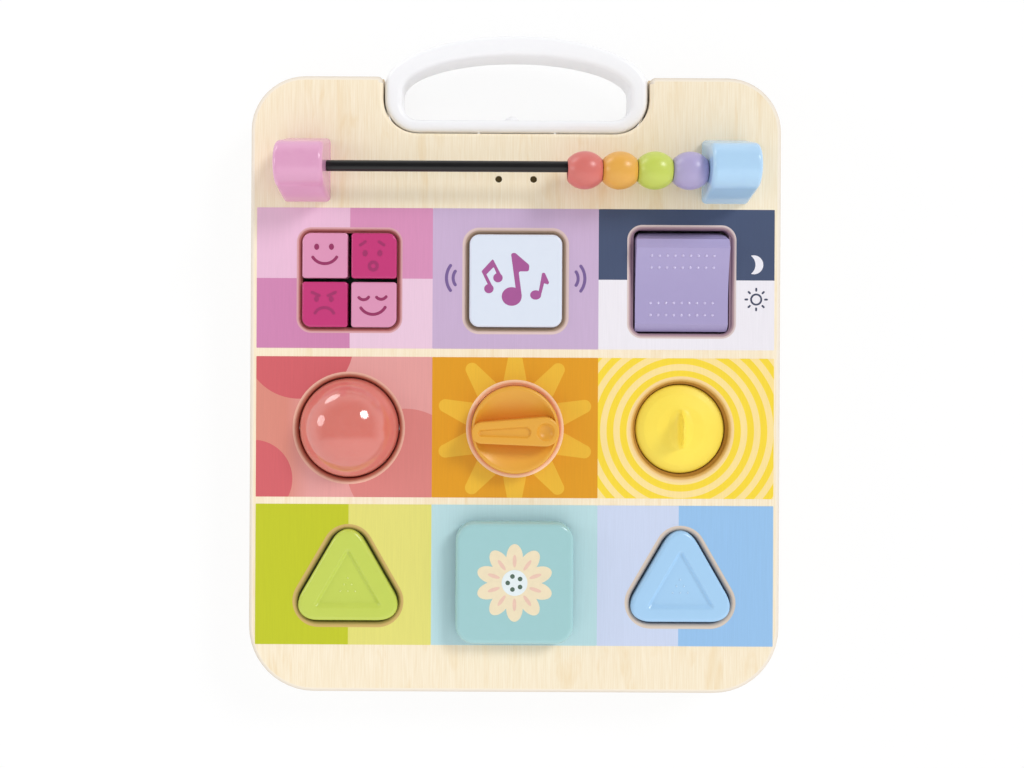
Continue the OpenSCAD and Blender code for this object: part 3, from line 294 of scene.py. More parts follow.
def plate(outlines, low, top, rounding=0.0, fine=10):
    # a flat curve with thickness and a rounded edge, turned into a mesh
    curve = bpy.data.curves.new("plate", "CURVE")
    curve.dimensions = "2D"
    curve.fill_mode = "BOTH"
    curve.resolution_u = fine
    curve.extrude = (top - low) / 2 - rounding
    curve.bevel_depth = rounding
    curve.bevel_resolution = 4
    curve.offset = -rounding
    for knots in outlines:
        spline = curve.splines.new("BEZIER")
        spline.bezier_points.add(len(knots) - 1)
        spline.use_cyclic_u = True
        for point, (here, left, right) in zip(spline.bezier_points, knots):
            point.handle_left_type = point.handle_right_type = "FREE"
            point.co, point.handle_left, point.handle_right = here, left, right
    holder = bpy.data.objects.new("plate", curve)
    scene.collection.objects.link(holder)
    mesh = bpy.data.meshes.new_from_object(holder.evaluated_get(bpy.context.evaluated_depsgraph_get()))
    bpy.data.objects.remove(holder)
    bpy.data.curves.remove(curve)
    bm = bmesh.new()
    bm.from_mesh(mesh)
    bpy.data.meshes.remove(mesh)
    bmesh.ops.translate(bm, vec=(0, 0, (low + top) / 2), verts=bm.verts)
    bmesh.ops.remove_doubles(bm, verts=bm.verts, dist=0.002)
    bmesh.ops.recalc_face_normals(bm, faces=bm.faces)
    return bm


def join(bm, *others):
    for other in others:
        mesh = bpy.data.meshes.new("joined")
        other.to_mesh(mesh)
        other.free()
        bm.from_mesh(mesh)
        bpy.data.meshes.remove(mesh)
    return bm


def bevel(bm, geom, offset, segments, affect="EDGES", clamp=False):
    return bmesh.ops.bevel(bm, geom=geom, offset=offset, offset_type="OFFSET", affect=affect,
                           segments=segments, profile=0.5, material=-1, clamp_overlap=clamp)


def drawOut(bm, sheet, along):
    # extrudes faces along a vector and gives the points of the far end
    grown = bmesh.ops.extrude_face_region(bm, geom=sheet)
    far = [v for v in grown["geom"] if isinstance(v, bmesh.types.BMVert)]
    bmesh.ops.translate(bm, vec=along, verts=far)
    return far


def slab(bm, length):
    # an open profile that lies across X, closed and drawn out to both sides
    bmesh.ops.contextual_create(bm, geom=bm.edges[:])
    drawOut(bm, bm.faces[:], (length, 0, 0))
    bmesh.ops.contextual_create(bm, geom=[e for e in bm.edges if e.is_boundary])
    bmesh.ops.translate(bm, vec=(-length / 2, 0, 0), verts=bm.verts)
    bmesh.ops.recalc_face_normals(bm, faces=bm.faces)


def addDisc(bm, place, radius, thick, segments):
    bmesh.ops.create_cone(bm, cap_ends=True, segments=segments, radius1=radius, radius2=radius, depth=thick,
                          matrix=Matrix.Translation(place))


def addCircle(bm, segments, radius, matrix):
    made = bmesh.ops.create_circle(bm, segments=segments, radius=radius, matrix=matrix)
    return list({e for v in made["verts"] for e in v.link_edges})


def addDot(bm, place, radius):
    bmesh.ops.create_icosphere(bm, subdivisions=3, radius=radius, matrix=Matrix.Translation(place))


def roundFace(bm, corners, z):
    # a flat face through the corners (x, y, radius), each one rounded
    points = [bm.verts.new((x, y, z)) for x, y, r in corners]
    bm.faces.new(points)
    for vert, (x, y, r) in zip(points, corners):
        sides = [e.other_vert(vert).co - vert.co for e in vert.link_edges]
        reach = r / math.tan(sides[0].angle(sides[1]) / 2)
        made = bevel(bm, [vert], reach, 10, "VERTICES")
    return made["verts"][0].link_faces[0]


def softBlock(corners, low, top, edge, steps=5):
    # a rounded face raised to a block, its top edge softened
    bm = bmesh.new()
    lifted = set(drawOut(bm, [roundFace(bm, corners, low)], (0, 0, top - low)))
    bmesh.ops.contextual_create(bm, geom=[e for e in bm.edges if e.is_boundary])
    bmesh.ops.recalc_face_normals(bm, faces=bm.faces)
    bevel(bm, [e for e in bm.edges if lifted.issuperset(e.verts)], edge, steps, clamp=True)
    return bm


def openLid(bm):
    # takes off the flat top of a block and gives the edges round it
    lid = max((f for f in bm.faces if f.normal.z > 0.99), key=lambda f: f.calc_area())
    rim = lid.edges[:]
    bmesh.ops.delete(bm, geom=[lid], context="FACES_ONLY")
    return rim


def openRing(bm, corners, z):
    # the outline of a rounded face without the face
    face = roundFace(bm, corners, z)
    edges = face.edges[:]
    bmesh.ops.delete(bm, geom=[face], context="FACES_ONLY")
    return edges


def sink(bm, rings):
    # rings of edges joined one below the other, the last one closed with a floor
    for above, below in zip(rings, rings[1:]):
        bmesh.ops.bridge_loops(bm, edges=above + below)
    bmesh.ops.triangle_fill(bm, use_beauty=True, edges=rings[-1])


def turned(profile, steps=96):
    # a profile of (radius, height) spun once round the Z axis
    bm = bmesh.new()
    points = [bm.verts.new((r, 0, z)) for r, z in profile]
    edges = [bm.edges.new(pair) for pair in zip(points, points[1:])]
    bmesh.ops.spin(bm, geom=points + edges, cent=(0, 0, 0), axis=(0, 0, 1), angle=math.tau, steps=steps,
                   use_merge=True)
    bmesh.ops.remove_doubles(bm, verts=bm.verts, dist=0.002)
    bmesh.ops.recalc_face_normals(bm, faces=bm.faces)
    return bm


def carve(bm, *cutters, keep="DIFFERENCE"):
    # takes the cutters out of a closed shape, keeps what lies in them or adds them
    held = []
    for shape in (bm, *cutters):
        mesh = bpy.data.meshes.new("carved")
        shape.to_mesh(mesh)
        shape.free()
        held.append(bpy.data.objects.new("carved", mesh))
        scene.collection.objects.link(held[-1])
    for cutter in held[1:]:
        cut = held[0].modifiers.new("cut", "BOOLEAN")
        cut.object, cut.solver, cut.operation = cutter, "EXACT", keep
    mesh = bpy.data.meshes.new_from_object(held[0].evaluated_get(bpy.context.evaluated_depsgraph_get()))
    left = bmesh.new()
    left.from_mesh(mesh)
    bpy.data.meshes.remove(mesh)
    for holder in held:
        bpy.data.meshes.remove(holder.data)
    return left


def move(bm, x=0.0, y=0.0, z=0.0, turn=0.0, axis="Z"):
    bmesh.ops.rotate(bm, cent=(0, 0, 0), matrix=Matrix.Rotation(math.radians(turn), 3, axis), verts=bm.verts)
    bmesh.ops.translate(bm, vec=(x, y, z), verts=bm.verts)
    return bm


def addPiece(name, bm, material, body, slot, *nodes, smooth=38):
    bmesh.ops.remove_doubles(bm, verts=bm.verts, dist=0.001)
    bmesh.ops.dissolve_degenerate(bm, edges=bm.edges, dist=0.0005)
    bmesh.ops.recalc_face_normals(bm, faces=bm.faces)
    bmesh.ops.scale(bm, vec=(mm, mm, mm), verts=bm.verts)
    mesh = bpy.data.meshes.new(name)
    bm.to_mesh(mesh)
    bm.free()
    mesh.shade_smooth()
    mesh.set_sharp_from_angle(angle=math.radians(smooth))
    mesh.materials.append(material)
    piece = bpy.data.objects.new(name, mesh)
    piece.modifiers.new("evenNormals", "WEIGHTED_NORMAL").keep_sharp = True
    scene.collection.objects.link(piece)
    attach(piece, body)
    if nodes:
        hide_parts(*nodes)
    return piece


# board, whose nine holes are counted row by row from the upper left

board = dict(width=292.0, height=339.0, topRadius=30.0, lowRadius=36.0, thick=9.0, blank=30.0, rounding=2.4,
             notchWidth=147.3, notchLow=138.3, notchRadius=19.5, lipRadius=3.0,
             soundHole=1.9, soundX=9.6, soundY=113.0, drill=20.0, clothDrop=2.5, clothThick=0.5,
             squareHoles={0: (53.5, 53.5, 5.85), 1: (54.0, 54.0, 7.1), 2: (55.4, 57.8, 6.0),
                          7: (37.4, 37.4, 6.7)},
             roundHoles={3: 28.6, 4: 24.6, 5: 27.0}, triangleSide=32.4, triangleHole=12.0, tileDrop=1.8,
             trim=(0.3, 0.9, 0.3, 0.5, 0.3, 0.9, 0.8, 0.0, 0.8))
controls = [(x, y) for y in rows for x in columns]
controls[7] = (columns[1], rows[2] - board["tileDrop"])
halfW, halfH, halfNotch = board["width"] / 2, board["height"] / 2, board["notchWidth"] / 2
outline = fillet([
    (-halfW, -halfH, board["lowRadius"]), (halfW, -halfH, board["lowRadius"]),
    (halfW, halfH, board["topRadius"]), (halfNotch, halfH, board["lipRadius"]),
    (halfNotch, board["notchLow"], board["notchRadius"]),
    (-halfNotch, board["notchLow"], board["notchRadius"]),
    (-halfNotch, halfH, board["lipRadius"]), (-halfW, halfH, board["topRadius"])])


def opening(i, wider):
    # outline of a hole in the face, wider all round
    if i in board["squareHoles"]:
        w, h, r = board["squareHoles"][i]
        return square(*controls[i], w + 2 * wider, h + 2 * wider, r + wider)
    if i in board["roundHoles"]:
        return ring(*controls[i], board["roundHoles"][i] + wider)
    return fillet(triangle(*controls[i], board["triangleSide"], board["triangleHole"] + wider))


# a thick blank with rounded edges, cut off at the panel's thickness
panel = plate([outline] + [opening(i, -trim) for i, trim in enumerate(board["trim"])],
              faceZ - board["blank"], faceZ, board["rounding"], fine=12)
bmesh.ops.bisect_plane(panel, geom=panel.verts[:] + panel.edges[:] + panel.faces[:],
                       plane_co=(0, 0, faceZ - board["thick"]), plane_no=(0, 0, 1), clear_inner=True)
bmesh.ops.triangle_fill(panel, use_beauty=True, edges=[e for e in panel.edges if e.is_boundary])
drills, cloth = [], bmesh.new()
for side in (-1, 1):
    drills.append(bmesh.new())
    x, y = side * board["soundX"], board["soundY"]
    addDisc(drills[-1], (x, y, faceZ), board["soundHole"], board["drill"], 32)
    addDisc(cloth, (x, y, faceZ - board["clothDrop"]), board["soundHole"], board["clothThick"], 32)
front = addPiece("frontPanel", carve(panel, *drills), faceBirch, "board", "plywood", "front_panel")
for edge in cutBirchAndShade:
    front.data.materials.append(edge)
holeField = dict(half=130.0, low=-150.0, top=100.0)
notchField = dict(half=80.0, low=0.0, top=166.0)
for facet in front.data.polygons:
    if not -0.9 < facet.normal.z < 0.9995:
        continue
    # what isn't flat belongs to the nearest hole or to the outer edge, and the notch looks as the face does
    x, y = facet.center.x / mm, facet.center.y / mm
    if abs(x) < holeField["half"] and holeField["low"] < y < holeField["top"]:
        row = min(range(3), key=lambda n: abs(rows[n] - y))
        column = min(range(3), key=lambda n: abs(columns[n] - x))
        facet.material_index = 1 + 3 * row + column
    elif abs(x) > notchField["half"] or not notchField["low"] <= y <= notchField["top"]:
        facet.material_index = len(cutBirchAndShade)
addPiece("speakerCloth", cloth, plastics["cloth"], "board", "dark_plastic")

# lower ply of the holes, which stands in a little further and shows round the piece
plies = dict(
    round=dict(ball=(3, [(27.85, 30), (27.85, 35.9), (28.1, 36.5), (28.55, 37.0), (28.55, 30), (27.85, 30)]),
               dial=(4, [(23.95, 31), (23.95, 36.4), (24.75, 37.0), (24.75, 31), (23.95, 31)]),
               spinner=(5, [(24.85, 31), (24.85, 33.2), (25.2, 34.2), (26.4, 35.6), (26.4, 31),
                            (24.85, 31)])),
    square=dict(faces=(0, (52.2, 52.2), (53.4, 53.4), 5.2), music=(1, (51.4, 51.4), (52.6, 52.6), 5.8),
                rocker=(2, (52.8, 57.0), (55.6, 58.0), 4.0)),
    squareSpan=(31.5, 36.4), squareRounder=0.6,
    triangle=dict(green=6, blue=8), triangleSpan=(32.0, 35.2), triangleRadii=(11.3, 10.75))
for name, (i, profile) in plies["round"].items():
    addPiece(name + "Ply", move(turned(profile), *controls[i]), cutBirchAndShade[i], "board", "plywood")
for name, (i, inner, outer, r) in plies["square"].items():
    ply = plate([square(*controls[i], *outer, r + plies["squareRounder"]), square(*controls[i], *inner, r)],
                *plies["squareSpan"])
    addPiece(name + "Ply", ply, cutBirchAndShade[i], "board", "plywood")
for name, i in plies["triangle"].items():
    ply = plate([fillet(triangle(*controls[i], board["triangleSide"], r)) for r in plies["triangleRadii"]],
                *plies["triangleSpan"])
    addPiece(name + "Ply", ply, cutBirchAndShade[i], "board", "plywood")
print("board made")

# printed squares on the face

prints = dict(edge=142.3, split=45.6, row=38.6, rowY=(58.2, -23.6, -104.7), corner=0.4, film=0.06,
              bare=0.1, lip=0.05, cloud=25.0, grain=0.03)


def cloudy(tree, place, pale, deep):
    # one colour, a little uneven as a brushed ink is
    cloud = addNode(tree, "ShaderNodeTexNoise", {"Vector": place, "Scale": 1 / prints["cloud"]})
    tone = addNode(tree, "ShaderNodeMix", {0: cloud.outputs["Fac"], 6: linear(pale), 7: linear(deep)},
                   data_type="RGBA")
    return tone.outputs[2]


def halves(tree, place, axis, border, before, after):
    # two colours that meet at a straight border
    apart = addNode(tree, "ShaderNodeSeparateXYZ", {0: place})
    past = addNode(tree, "ShaderNodeMath", {0: apart.outputs[axis], 1: border}, operation="GREATER_THAN")
    tone = addNode(tree, "ShaderNodeMix", {0: past.outputs[0], 6: linear(before), 7: linear(after)},
                   data_type="RGBA")
    return tone.outputs[2]


quarterTones = dict(x=-91.1, y=58.0, low=("#CE83B0", "#E9C7DC"), top=("#E6BAD4", "#D68EB7"))


def quarters(tree, place):
    # four pinks that meet behind the face buttons
    low = halves(tree, place, "X", quarterTones["x"], *quarterTones["low"])
    top = halves(tree, place, "X", quarterTones["x"], *quarterTones["top"])
    apart = addNode(tree, "ShaderNodeSeparateXYZ", {0: place})
    upper = addNode(tree, "ShaderNodeMath", {0: apart.outputs["Y"], 1: quarterTones["y"]},
                    operation="GREATER_THAN")
    return addNode(tree, "ShaderNodeMix", {0: upper.outputs[0], 6: low, 7: top}, data_type="RGBA").outputs[2]


coralPrint = dict(ground=("#E5A09D", "#E19B98"), warm="#DA8A7A", warmFrom=-112.0, warmTo=-126.0,
                  discs=(((-119.0, 21.7, faceZ), 30.0, "#D25E65"), ((-143.7, -52.5, faceZ), 21.5, "#D36066"),
                         ((-60.1, -45.9, faceZ), 32.4, "#DA817C")))


def coralBlobs(tree, place):
    # three flat discs on coral, which is warmer at the left edge
    ground = cloudy(tree, place, *coralPrint["ground"])
    apart = addNode(tree, "ShaderNodeSeparateXYZ", {0: place})
    warm = addNode(tree, "ShaderNodeMapRange", {
        "Value": apart.outputs["X"], "From Min": coralPrint["warmFrom"], "From Max": coralPrint["warmTo"]})
    colour = addNode(tree, "ShaderNodeMix", {0: warm.outputs[0], 6: ground, 7: linear(coralPrint["warm"])},
                     data_type="RGBA")
    for middle, radius, tone in coralPrint["discs"]:
        away = addNode(tree, "ShaderNodeVectorMath", {0: place, 1: middle}, operation="DISTANCE")
        inside = addNode(tree, "ShaderNodeMath", {0: away.outputs["Value"], 1: radius}, operation="LESS_THAN")
        colour = addNode(tree, "ShaderNodeMix", {0: inside.outputs[0], 6: colour.outputs[2], 7: linear(tone)},
                         data_type="RGBA")
    return colour.outputs[2]


sunPrint = dict(ground="#E19A00", ray="#ECB82C", rays=10, rootAt=27.0, rootHalf=6.25, endAt=40.6, endHalf=3.6,
                tipAt=40.2, tipRadius=3.65)


def sunRays(tree, place):
    # ten rays with round tips: the angle is folded so that every ray is the same one
    turn = math.tau / sunPrint["rays"]
    local = addNode(tree, "ShaderNodeVectorMath", {0: place, 1: (*controls[4], 0)}, operation="SUBTRACT")
    apart = addNode(tree, "ShaderNodeSeparateXYZ", {0: local.outputs[0]})
    x, y = apart.outputs["X"], apart.outputs["Y"]
    angle = addNode(tree, "ShaderNodeMath", {0: y, 1: x}, operation="ARCTAN2")
    folded = addNode(tree, "ShaderNodeMath", {0: angle.outputs[0], 1: turn, 2: 0.0}, operation="WRAP")
    swing = addNode(tree, "ShaderNodeMath", {0: folded.outputs[0], 1: turn / 2}, operation="SUBTRACT")
    flat = addNode(tree, "ShaderNodeCombineXYZ", {0: x, 1: y})
    reach = addNode(tree, "ShaderNodeVectorMath", {0: flat.outputs[0]}, operation="LENGTH").outputs["Value"]
    sine = addNode(tree, "ShaderNodeMath", {0: swing.outputs[0]}, operation="SINE")
    cosine = addNode(tree, "ShaderNodeMath", {0: swing.outputs[0]}, operation="COSINE")
    across = addNode(tree, "ShaderNodeMath", {0: sine.outputs[0], 1: reach}, operation="MULTIPLY")
    along = addNode(tree, "ShaderNodeMath", {0: cosine.outputs[0], 1: reach}, operation="MULTIPLY")
    half = addNode(tree, "ShaderNodeMapRange", {
        "Value": along.outputs[0], "From Min": sunPrint["rootAt"], "From Max": sunPrint["endAt"],
        "To Min": sunPrint["rootHalf"], "To Max": sunPrint["endHalf"]})
    wide = addNode(tree, "ShaderNodeMath", {0: across.outputs[0]}, operation="ABSOLUTE")
    within = addNode(tree, "ShaderNodeMath", {0: wide.outputs[0], 1: half.outputs[0]}, operation="LESS_THAN")
    short = addNode(tree, "ShaderNodeMath", {0: along.outputs[0], 1: sunPrint["endAt"]},
                    operation="LESS_THAN")
    stem = addNode(tree, "ShaderNodeMath", {0: within.outputs[0], 1: short.outputs[0]}, operation="MULTIPLY")
    spot = addNode(tree, "ShaderNodeCombineXYZ", {0: along.outputs[0], 1: across.outputs[0]})
    away = addNode(tree, "ShaderNodeVectorMath", {0: spot.outputs[0], 1: (sunPrint["tipAt"], 0, 0)},
                   operation="DISTANCE")
    tip = addNode(tree, "ShaderNodeMath", {0: away.outputs["Value"], 1: sunPrint["tipRadius"]},
                  operation="LESS_THAN")
    ray = addNode(tree, "ShaderNodeMath", {0: stem.outputs[0], 1: tip.outputs[0]}, operation="MAXIMUM")
    tone = addNode(tree, "ShaderNodeMix", {
        0: ray.outputs[0], 6: linear(sunPrint["ground"]), 7: linear(sunPrint["ray"])}, data_type="RGBA")
    return tone.outputs[2]


ripplePrint = dict(yellow="#F7D832", pale="#FAE096", middle=(90.95, -25.0, faceZ),
                   first=29.59, next=36.85, paleAt=33.3)


def ripples(tree, place):
    # rings round the spinner, each about 3.6 mm wide
    away = addNode(tree, "ShaderNodeVectorMath", {0: place, 1: ripplePrint["middle"]}, operation="DISTANCE")
    turn = addNode(tree, "ShaderNodeMath", {
        0: away.outputs["Value"], 1: ripplePrint["next"], 2: ripplePrint["first"]}, operation="WRAP")
    pale = addNode(tree, "ShaderNodeMath", {0: turn.outputs[0], 1: ripplePrint["paleAt"]},
                   operation="GREATER_THAN")
    tone = addNode(tree, "ShaderNodeMix", {
        0: pale.outputs[0], 6: linear(ripplePrint["yellow"]), 7: linear(ripplePrint["pale"])},
        data_type="RGBA")
    return tone.outputs[2]


def makePrint(name, ink, *tones):
    # ink printed straight onto the veneer: matt, and the grain still shows a little through it
    material, tree, place = startMaterial(name)
    fibre, figure = birchGrain(tree, place)
    show = addNode(tree, "ShaderNodeMapRange", {
        "Value": fibre, "From Min": 0.3, "From Max": 0.7,
        "To Min": 1 - prints["grain"], "To Max": 1 + prints["grain"] / 2})
    inked = addNode(tree, "ShaderNodeVectorMath", {
        "Vector": ink(tree, place, *tones), "Scale": show.outputs[0]}, operation="SCALE")
    pores = addNode(tree, "ShaderNodeBump", {"Height": fibre, "Strength": 0.08, "Distance": 0.0001})
    gloss = addNode(tree, "ShaderNodeMapRange", {"Value": figure, "To Min": 0.44, "To Max": 0.56})
    closeMaterial(tree, {"Base Color": inked.outputs[0], "Roughness": gloss.outputs[0],
                         "Normal": pores.outputs[0], "IOR": 1.48})
    return material


printInks = dict(
    pinkSquares=(quarters,), lilacSquare=(cloudy, "#C9B0D1", "#C5ABCD"),
    nightAndDaySquare=(halves, "Y", 57.95, "#ECE8EF", "#425070"),
    coralSquare=(coralBlobs,), sunSquare=(sunRays,), rippleSquare=(ripples,),
    limeSquare=(halves, "X", -91.2, "#C1C714", "#E2DC74"), aquaSquare=(cloudy, "#BCDDE2", "#B6D9DE"),
    skySquare=(halves, "X", 90.35, "#CAD5EE", "#94C0EA"))
edges = (-prints["edge"], -prints["split"], prints["split"], prints["edge"])
for i, (name, ink) in enumerate(printInks.items()):
    row, column = divmod(i, 3)
    left, right = edges[column], edges[column + 1]
    cell = square((left + right) / 2, prints["rowY"][row], right - left, 2 * prints["row"], prints["corner"])
    # the print stops short of the hole and leaves a narrow bare edge
    bare = opening(i, board["rounding"] - prints["bare"])
    film = plate([cell, bare], faceZ, faceZ + prints["film"], fine=16)
    addPiece(name, film, makePrint(name + "Ink", *ink), "board", "plywood")
    if board["trim"][i]:
        lip = opening(i, board["rounding"] - prints["lip"] - board["trim"][i])
        edge = plate([bare, lip], faceZ, faceZ + prints["film"] / 2, fine=16)
        addPiece(name + "Edge", edge, cutBirchAndShade[i], "board", "plywood")
print("prints made")

# flat signs, each a thin layer of ink

signs = dict(layer=0.05, stroke=1.65, cloud=3.0, arcs=((33.2, 3.7, 1.15), (35.8, 6.85, 2.25)),
             arcWidth=1.7, arcRise=1.5, arcInk="#785E97",
             moon=(130.9, 66.6, 5.2), moonBite=(125.6, 66.6, 6.2), moonInk="#ECEAF2",
             sun=(132.3, 47.5), sunRadii=(3.3, 2.3), rays=8, rayReach=(4.9, 5.9), rayWidth=1.05,
             sunInk="#454A63")


def stroke(points, width, low, high):
    # a line with round ends through two points, or an arc through three
    bm = bmesh.new()
    first, last = Vector((*points[0], low)), Vector((*points[-1], low))
    if len(points) == 3:
        via = Vector((*points[1], low))
        a, b = via - first, last - first
        cross = a.x * b.y - a.y * b.x
        centre = first + Vector(((b.y * a.length_squared - a.y * b.length_squared) / (2 * cross),
                                 (a.x * b.length_squared - b.x * a.length_squared) / (2 * cross), 0))
        out = (first - centre).normalized() * width / 2
        start = math.atan2(*(first - centre).yx)
        sweep = (math.atan2(*(last - centre).yx) - start) % math.tau
        through = (math.atan2(*(via - centre).yx) - start) % math.tau
        if through > sweep:
            sweep -= math.tau
        path = dict(cent=centre, angle=sweep, steps=24)
    else:
        out = (last - first).cross(Vector((0, 0, 1))).normalized() * width / 2
        path = dict(cent=first, angle=0.0, dvec=last - first, steps=1)
    pair = [bm.verts.new(first + out), bm.verts.new(first - out)]
    bmesh.ops.spin(bm, geom=pair + [bm.edges.new(pair)], axis=(0, 0, 1), **path)
    bmesh.ops.recalc_face_normals(bm, faces=bm.faces)
    drawOut(bm, bm.faces[:], (0, 0, high - low))
    for end, lift in ((first, 0.015), (last, 0.03)):
        # the ends lie a hair higher than the line, so that no two faces share a plane
        addDisc(bm, (end.x, end.y, (low + high) / 2 + lift), width / 2, high - low, 24)
    return bm


def makeInk(name, colour):
    # screen-printed ink: flat and matt, and a little uneven in tone
    material, tree, place = startMaterial(name)
    cloud = addNode(tree, "ShaderNodeTexNoise", {"Vector": place, "Scale": 1 / signs["cloud"]})
    tone = addNode(tree, "ShaderNodeMapRange", {
        "Value": cloud.outputs["Fac"], "To Min": 0.94, "To Max": 1.04})
    shade = addNode(tree, "ShaderNodeVectorMath", {0: linear(colour)[:3], "Scale": tone.outputs[0]},
                    operation="SCALE")
    closeMaterial(tree, {"Base Color": shade.outputs[0], "Roughness": 0.4, "IOR": 1.5})
    return material


faceInk = faceZ + prints["film"]
inkTop = faceInk + signs["layer"]

# sound arcs beside the music button
arcs = bmesh.new()
arcY = rows[0] + signs["arcRise"]
for side in (-1, 1):
    for x, tall, bow in signs["arcs"]:
        join(arcs, stroke([(side * x, arcY + tall), (side * (x + bow), arcY), (side * x, arcY - tall)],
                          signs["arcWidth"], faceInk, inkTop))
addPiece("soundArcs", arcs, makeInk("violetInk", signs["arcInk"]), "board", "plywood")

# moon and sun beside the rocker
moon = plate([ring(*signs["moon"])], faceInk, inkTop, fine=16)
moon = carve(moon, plate([ring(*signs["moonBite"])], faceInk - 1, inkTop + 1, fine=16))
addPiece("moonSign", moon, makeInk("whiteInk", signs["moonInk"]), "board", "plywood")
sunX, sunY = signs["sun"]
sun = plate([ring(sunX, sunY, r) for r in signs["sunRadii"]], faceInk, inkTop, fine=16)
for k in range(signs["rays"]):
    a = math.tau * k / signs["rays"]
    ends = [(sunX + reach * math.cos(a), sunY + reach * math.sin(a)) for reach in signs["rayReach"]]
    join(sun, stroke(ends, signs["rayWidth"], faceInk, inkTop))
addPiece("sunSign", sun, makeInk("navyInk", signs["sunInk"]), "board", "plywood")
print("signs made")

# handle

handle = dict(outer=dict(half=72.85, low=139.1, archY=165.1, top=193.0, r=18.7),
              inner=dict(half=63.05, low=146.3, archY=162.1, top=181.5, r=9.0),
              back=11.5, front=35.5, rounding=3.2, stop=(-2.4, 144.7, 29.0), stopRadius=4.4,
              ribs=(-20.8, 21.4), ribY=139.45, ribWidth=1.2, ribHeight=3.1, ribBack=20.0, ribFront=33.5,
              ribEdge=0.2)


def gripOutline(half, low, archY, top, r):
    # flat bottom, rounded lower corners and an elliptical arch above
    corners = fillet([(-half, archY, 0), (-half, low, r), (half, low, r), (half, archY, 0)])
    bend, rise = Vector((quarterPull * half, 0, 0)), Vector((0, quarterPull * (top - archY), 0))
    right, crown, left = Vector((half, archY, 0)), Vector((0, top, 0)), Vector((-half, archY, 0))
    down = Vector((0, -linePull, 0))
    return [(left, left + rise, left + down)] + corners[1:-1] + [
        (right, right + down, right + rise), (crown, crown + bend, crown - bend)]


grip = plate([gripOutline(**handle["outer"]), gripOutline(**handle["inner"])],
             handle["back"], handle["front"], handle["rounding"], fine=20)
stop = bmesh.new()
bmesh.ops.create_uvsphere(stop, u_segments=32, v_segments=16, radius=handle["stopRadius"],
                          matrix=Matrix.Translation(handle["stop"]))
join(grip, stop)
for x in handle["ribs"]:
    rib = box(x, handle["ribY"], handle["ribWidth"], handle["ribHeight"], handle["ribEdge"])
    join(grip, softBlock(rib, handle["ribBack"], handle["ribFront"], handle["ribEdge"], 2))
addPiece("carryHandle", grip, plastics["white"], "board", "white_plastic", "handle")
print("handle made")

# bead rod, posts and beads

posts = dict(x=115.0, length=26.0, foot=35.0, crown=12.6, height=35.0, rounding=2.6, y=117.5)


def makePost(name, side, material, slot, node):
    r, crownZ, half = posts["crown"], posts["height"] - posts["crown"], posts["foot"] / 2
    # the slanted flanks run into the round crown without a kink
    lean = math.acos(r / math.hypot(half, crownZ)) - math.atan2(crownZ, half)
    bm = bmesh.new()
    crown = bm.verts.new((0, -r * math.cos(lean), crownZ + r * math.sin(lean)))
    bmesh.ops.spin(bm, geom=[crown], cent=(0, 0, crownZ), axis=(-1, 0, 0),
                   angle=math.pi - 2 * lean, steps=32)
    bmesh.ops.remove_doubles(bm, verts=bm.verts, dist=0.001)
    feet = []
    for v in [v for v in bm.verts if len(v.link_edges) == 1]:
        foot = bm.verts.new((0, math.copysign(half, v.co.y), 0))
        bm.edges.new((v, foot))
        feet.append(foot)
    bm.edges.new(feet)
    slab(bm, posts["length"])
    ends = [e for e in bm.edges if abs(e.verts[0].co.x - e.verts[1].co.x) < 0.01
            and max(v.co.z for v in e.verts) > 0.01]
    bevel(bm, ends, posts["rounding"], 6)
    move(bm, side * posts["x"], posts["y"], faceZ)
    addPiece(name, bm, material, "board", slot, node, smooth=30)


makePost("pinkPost", -1, plastics["pinkPost"], "post_pink", "left_post")
makePost("bluePost", 1, plastics["bluePost"], "blue_plastic", "right_post")

rod = dict(half=102.0, radius=3.0, chamfer=0.4, z=faceZ + 17.4)
r, half, cut = rod["radius"], rod["half"], rod["chamfer"]
bar = turned([(0, -half), (r - cut, -half), (r, cut - half), (r, half - cut), (r - cut, half), (0, half)], 48)
move(move(bar, turn=90, axis="Y"), 0, posts["y"], rod["z"])
addPiece("beadRod", bar, blackSteel, "board", "black_steel", "bead_rod")

beads = dict(diameter=20.4, length=18.5, bulge=12.0, bore=5.1, lip=0.4, collar=(0.2, 0.5), inset=0.12,
             drop=1.8, x=dict(purple=92.5, green=73.75, orange=55.0, red=36.25))
for colour, x in beads["x"].items():
    r, half, bore, lip = beads["bulge"], beads["length"] / 2, beads["bore"], beads["lip"]
    near, far = [bore + out for out in beads["collar"]]
    angles = [math.asin((half - beads["inset"]) / r) * k / 12 for k in range(-12, 13)]
    belly = [(beads["diameter"] / 2 - r + r * math.cos(a), r * math.sin(a)) for a in angles]
    bead = turned([(bore, lip - half), (near, -half), (far, -half)] + belly
                  + [(far, half), (near, half), (bore, half - lip), (bore, lip - half)], 64)
    move(move(bead, turn=90, axis="Y"), x, posts["y"] - beads["drop"], rod["z"])
    addPiece(colour + "Bead", bead, plastics[colour], colour + "_bead", "bead_" + colour, colour + "_bead")
print("beads made")

# face buttons: plastic, side, eyes (x, y, two radii), lines through two or three points, and ring mouth

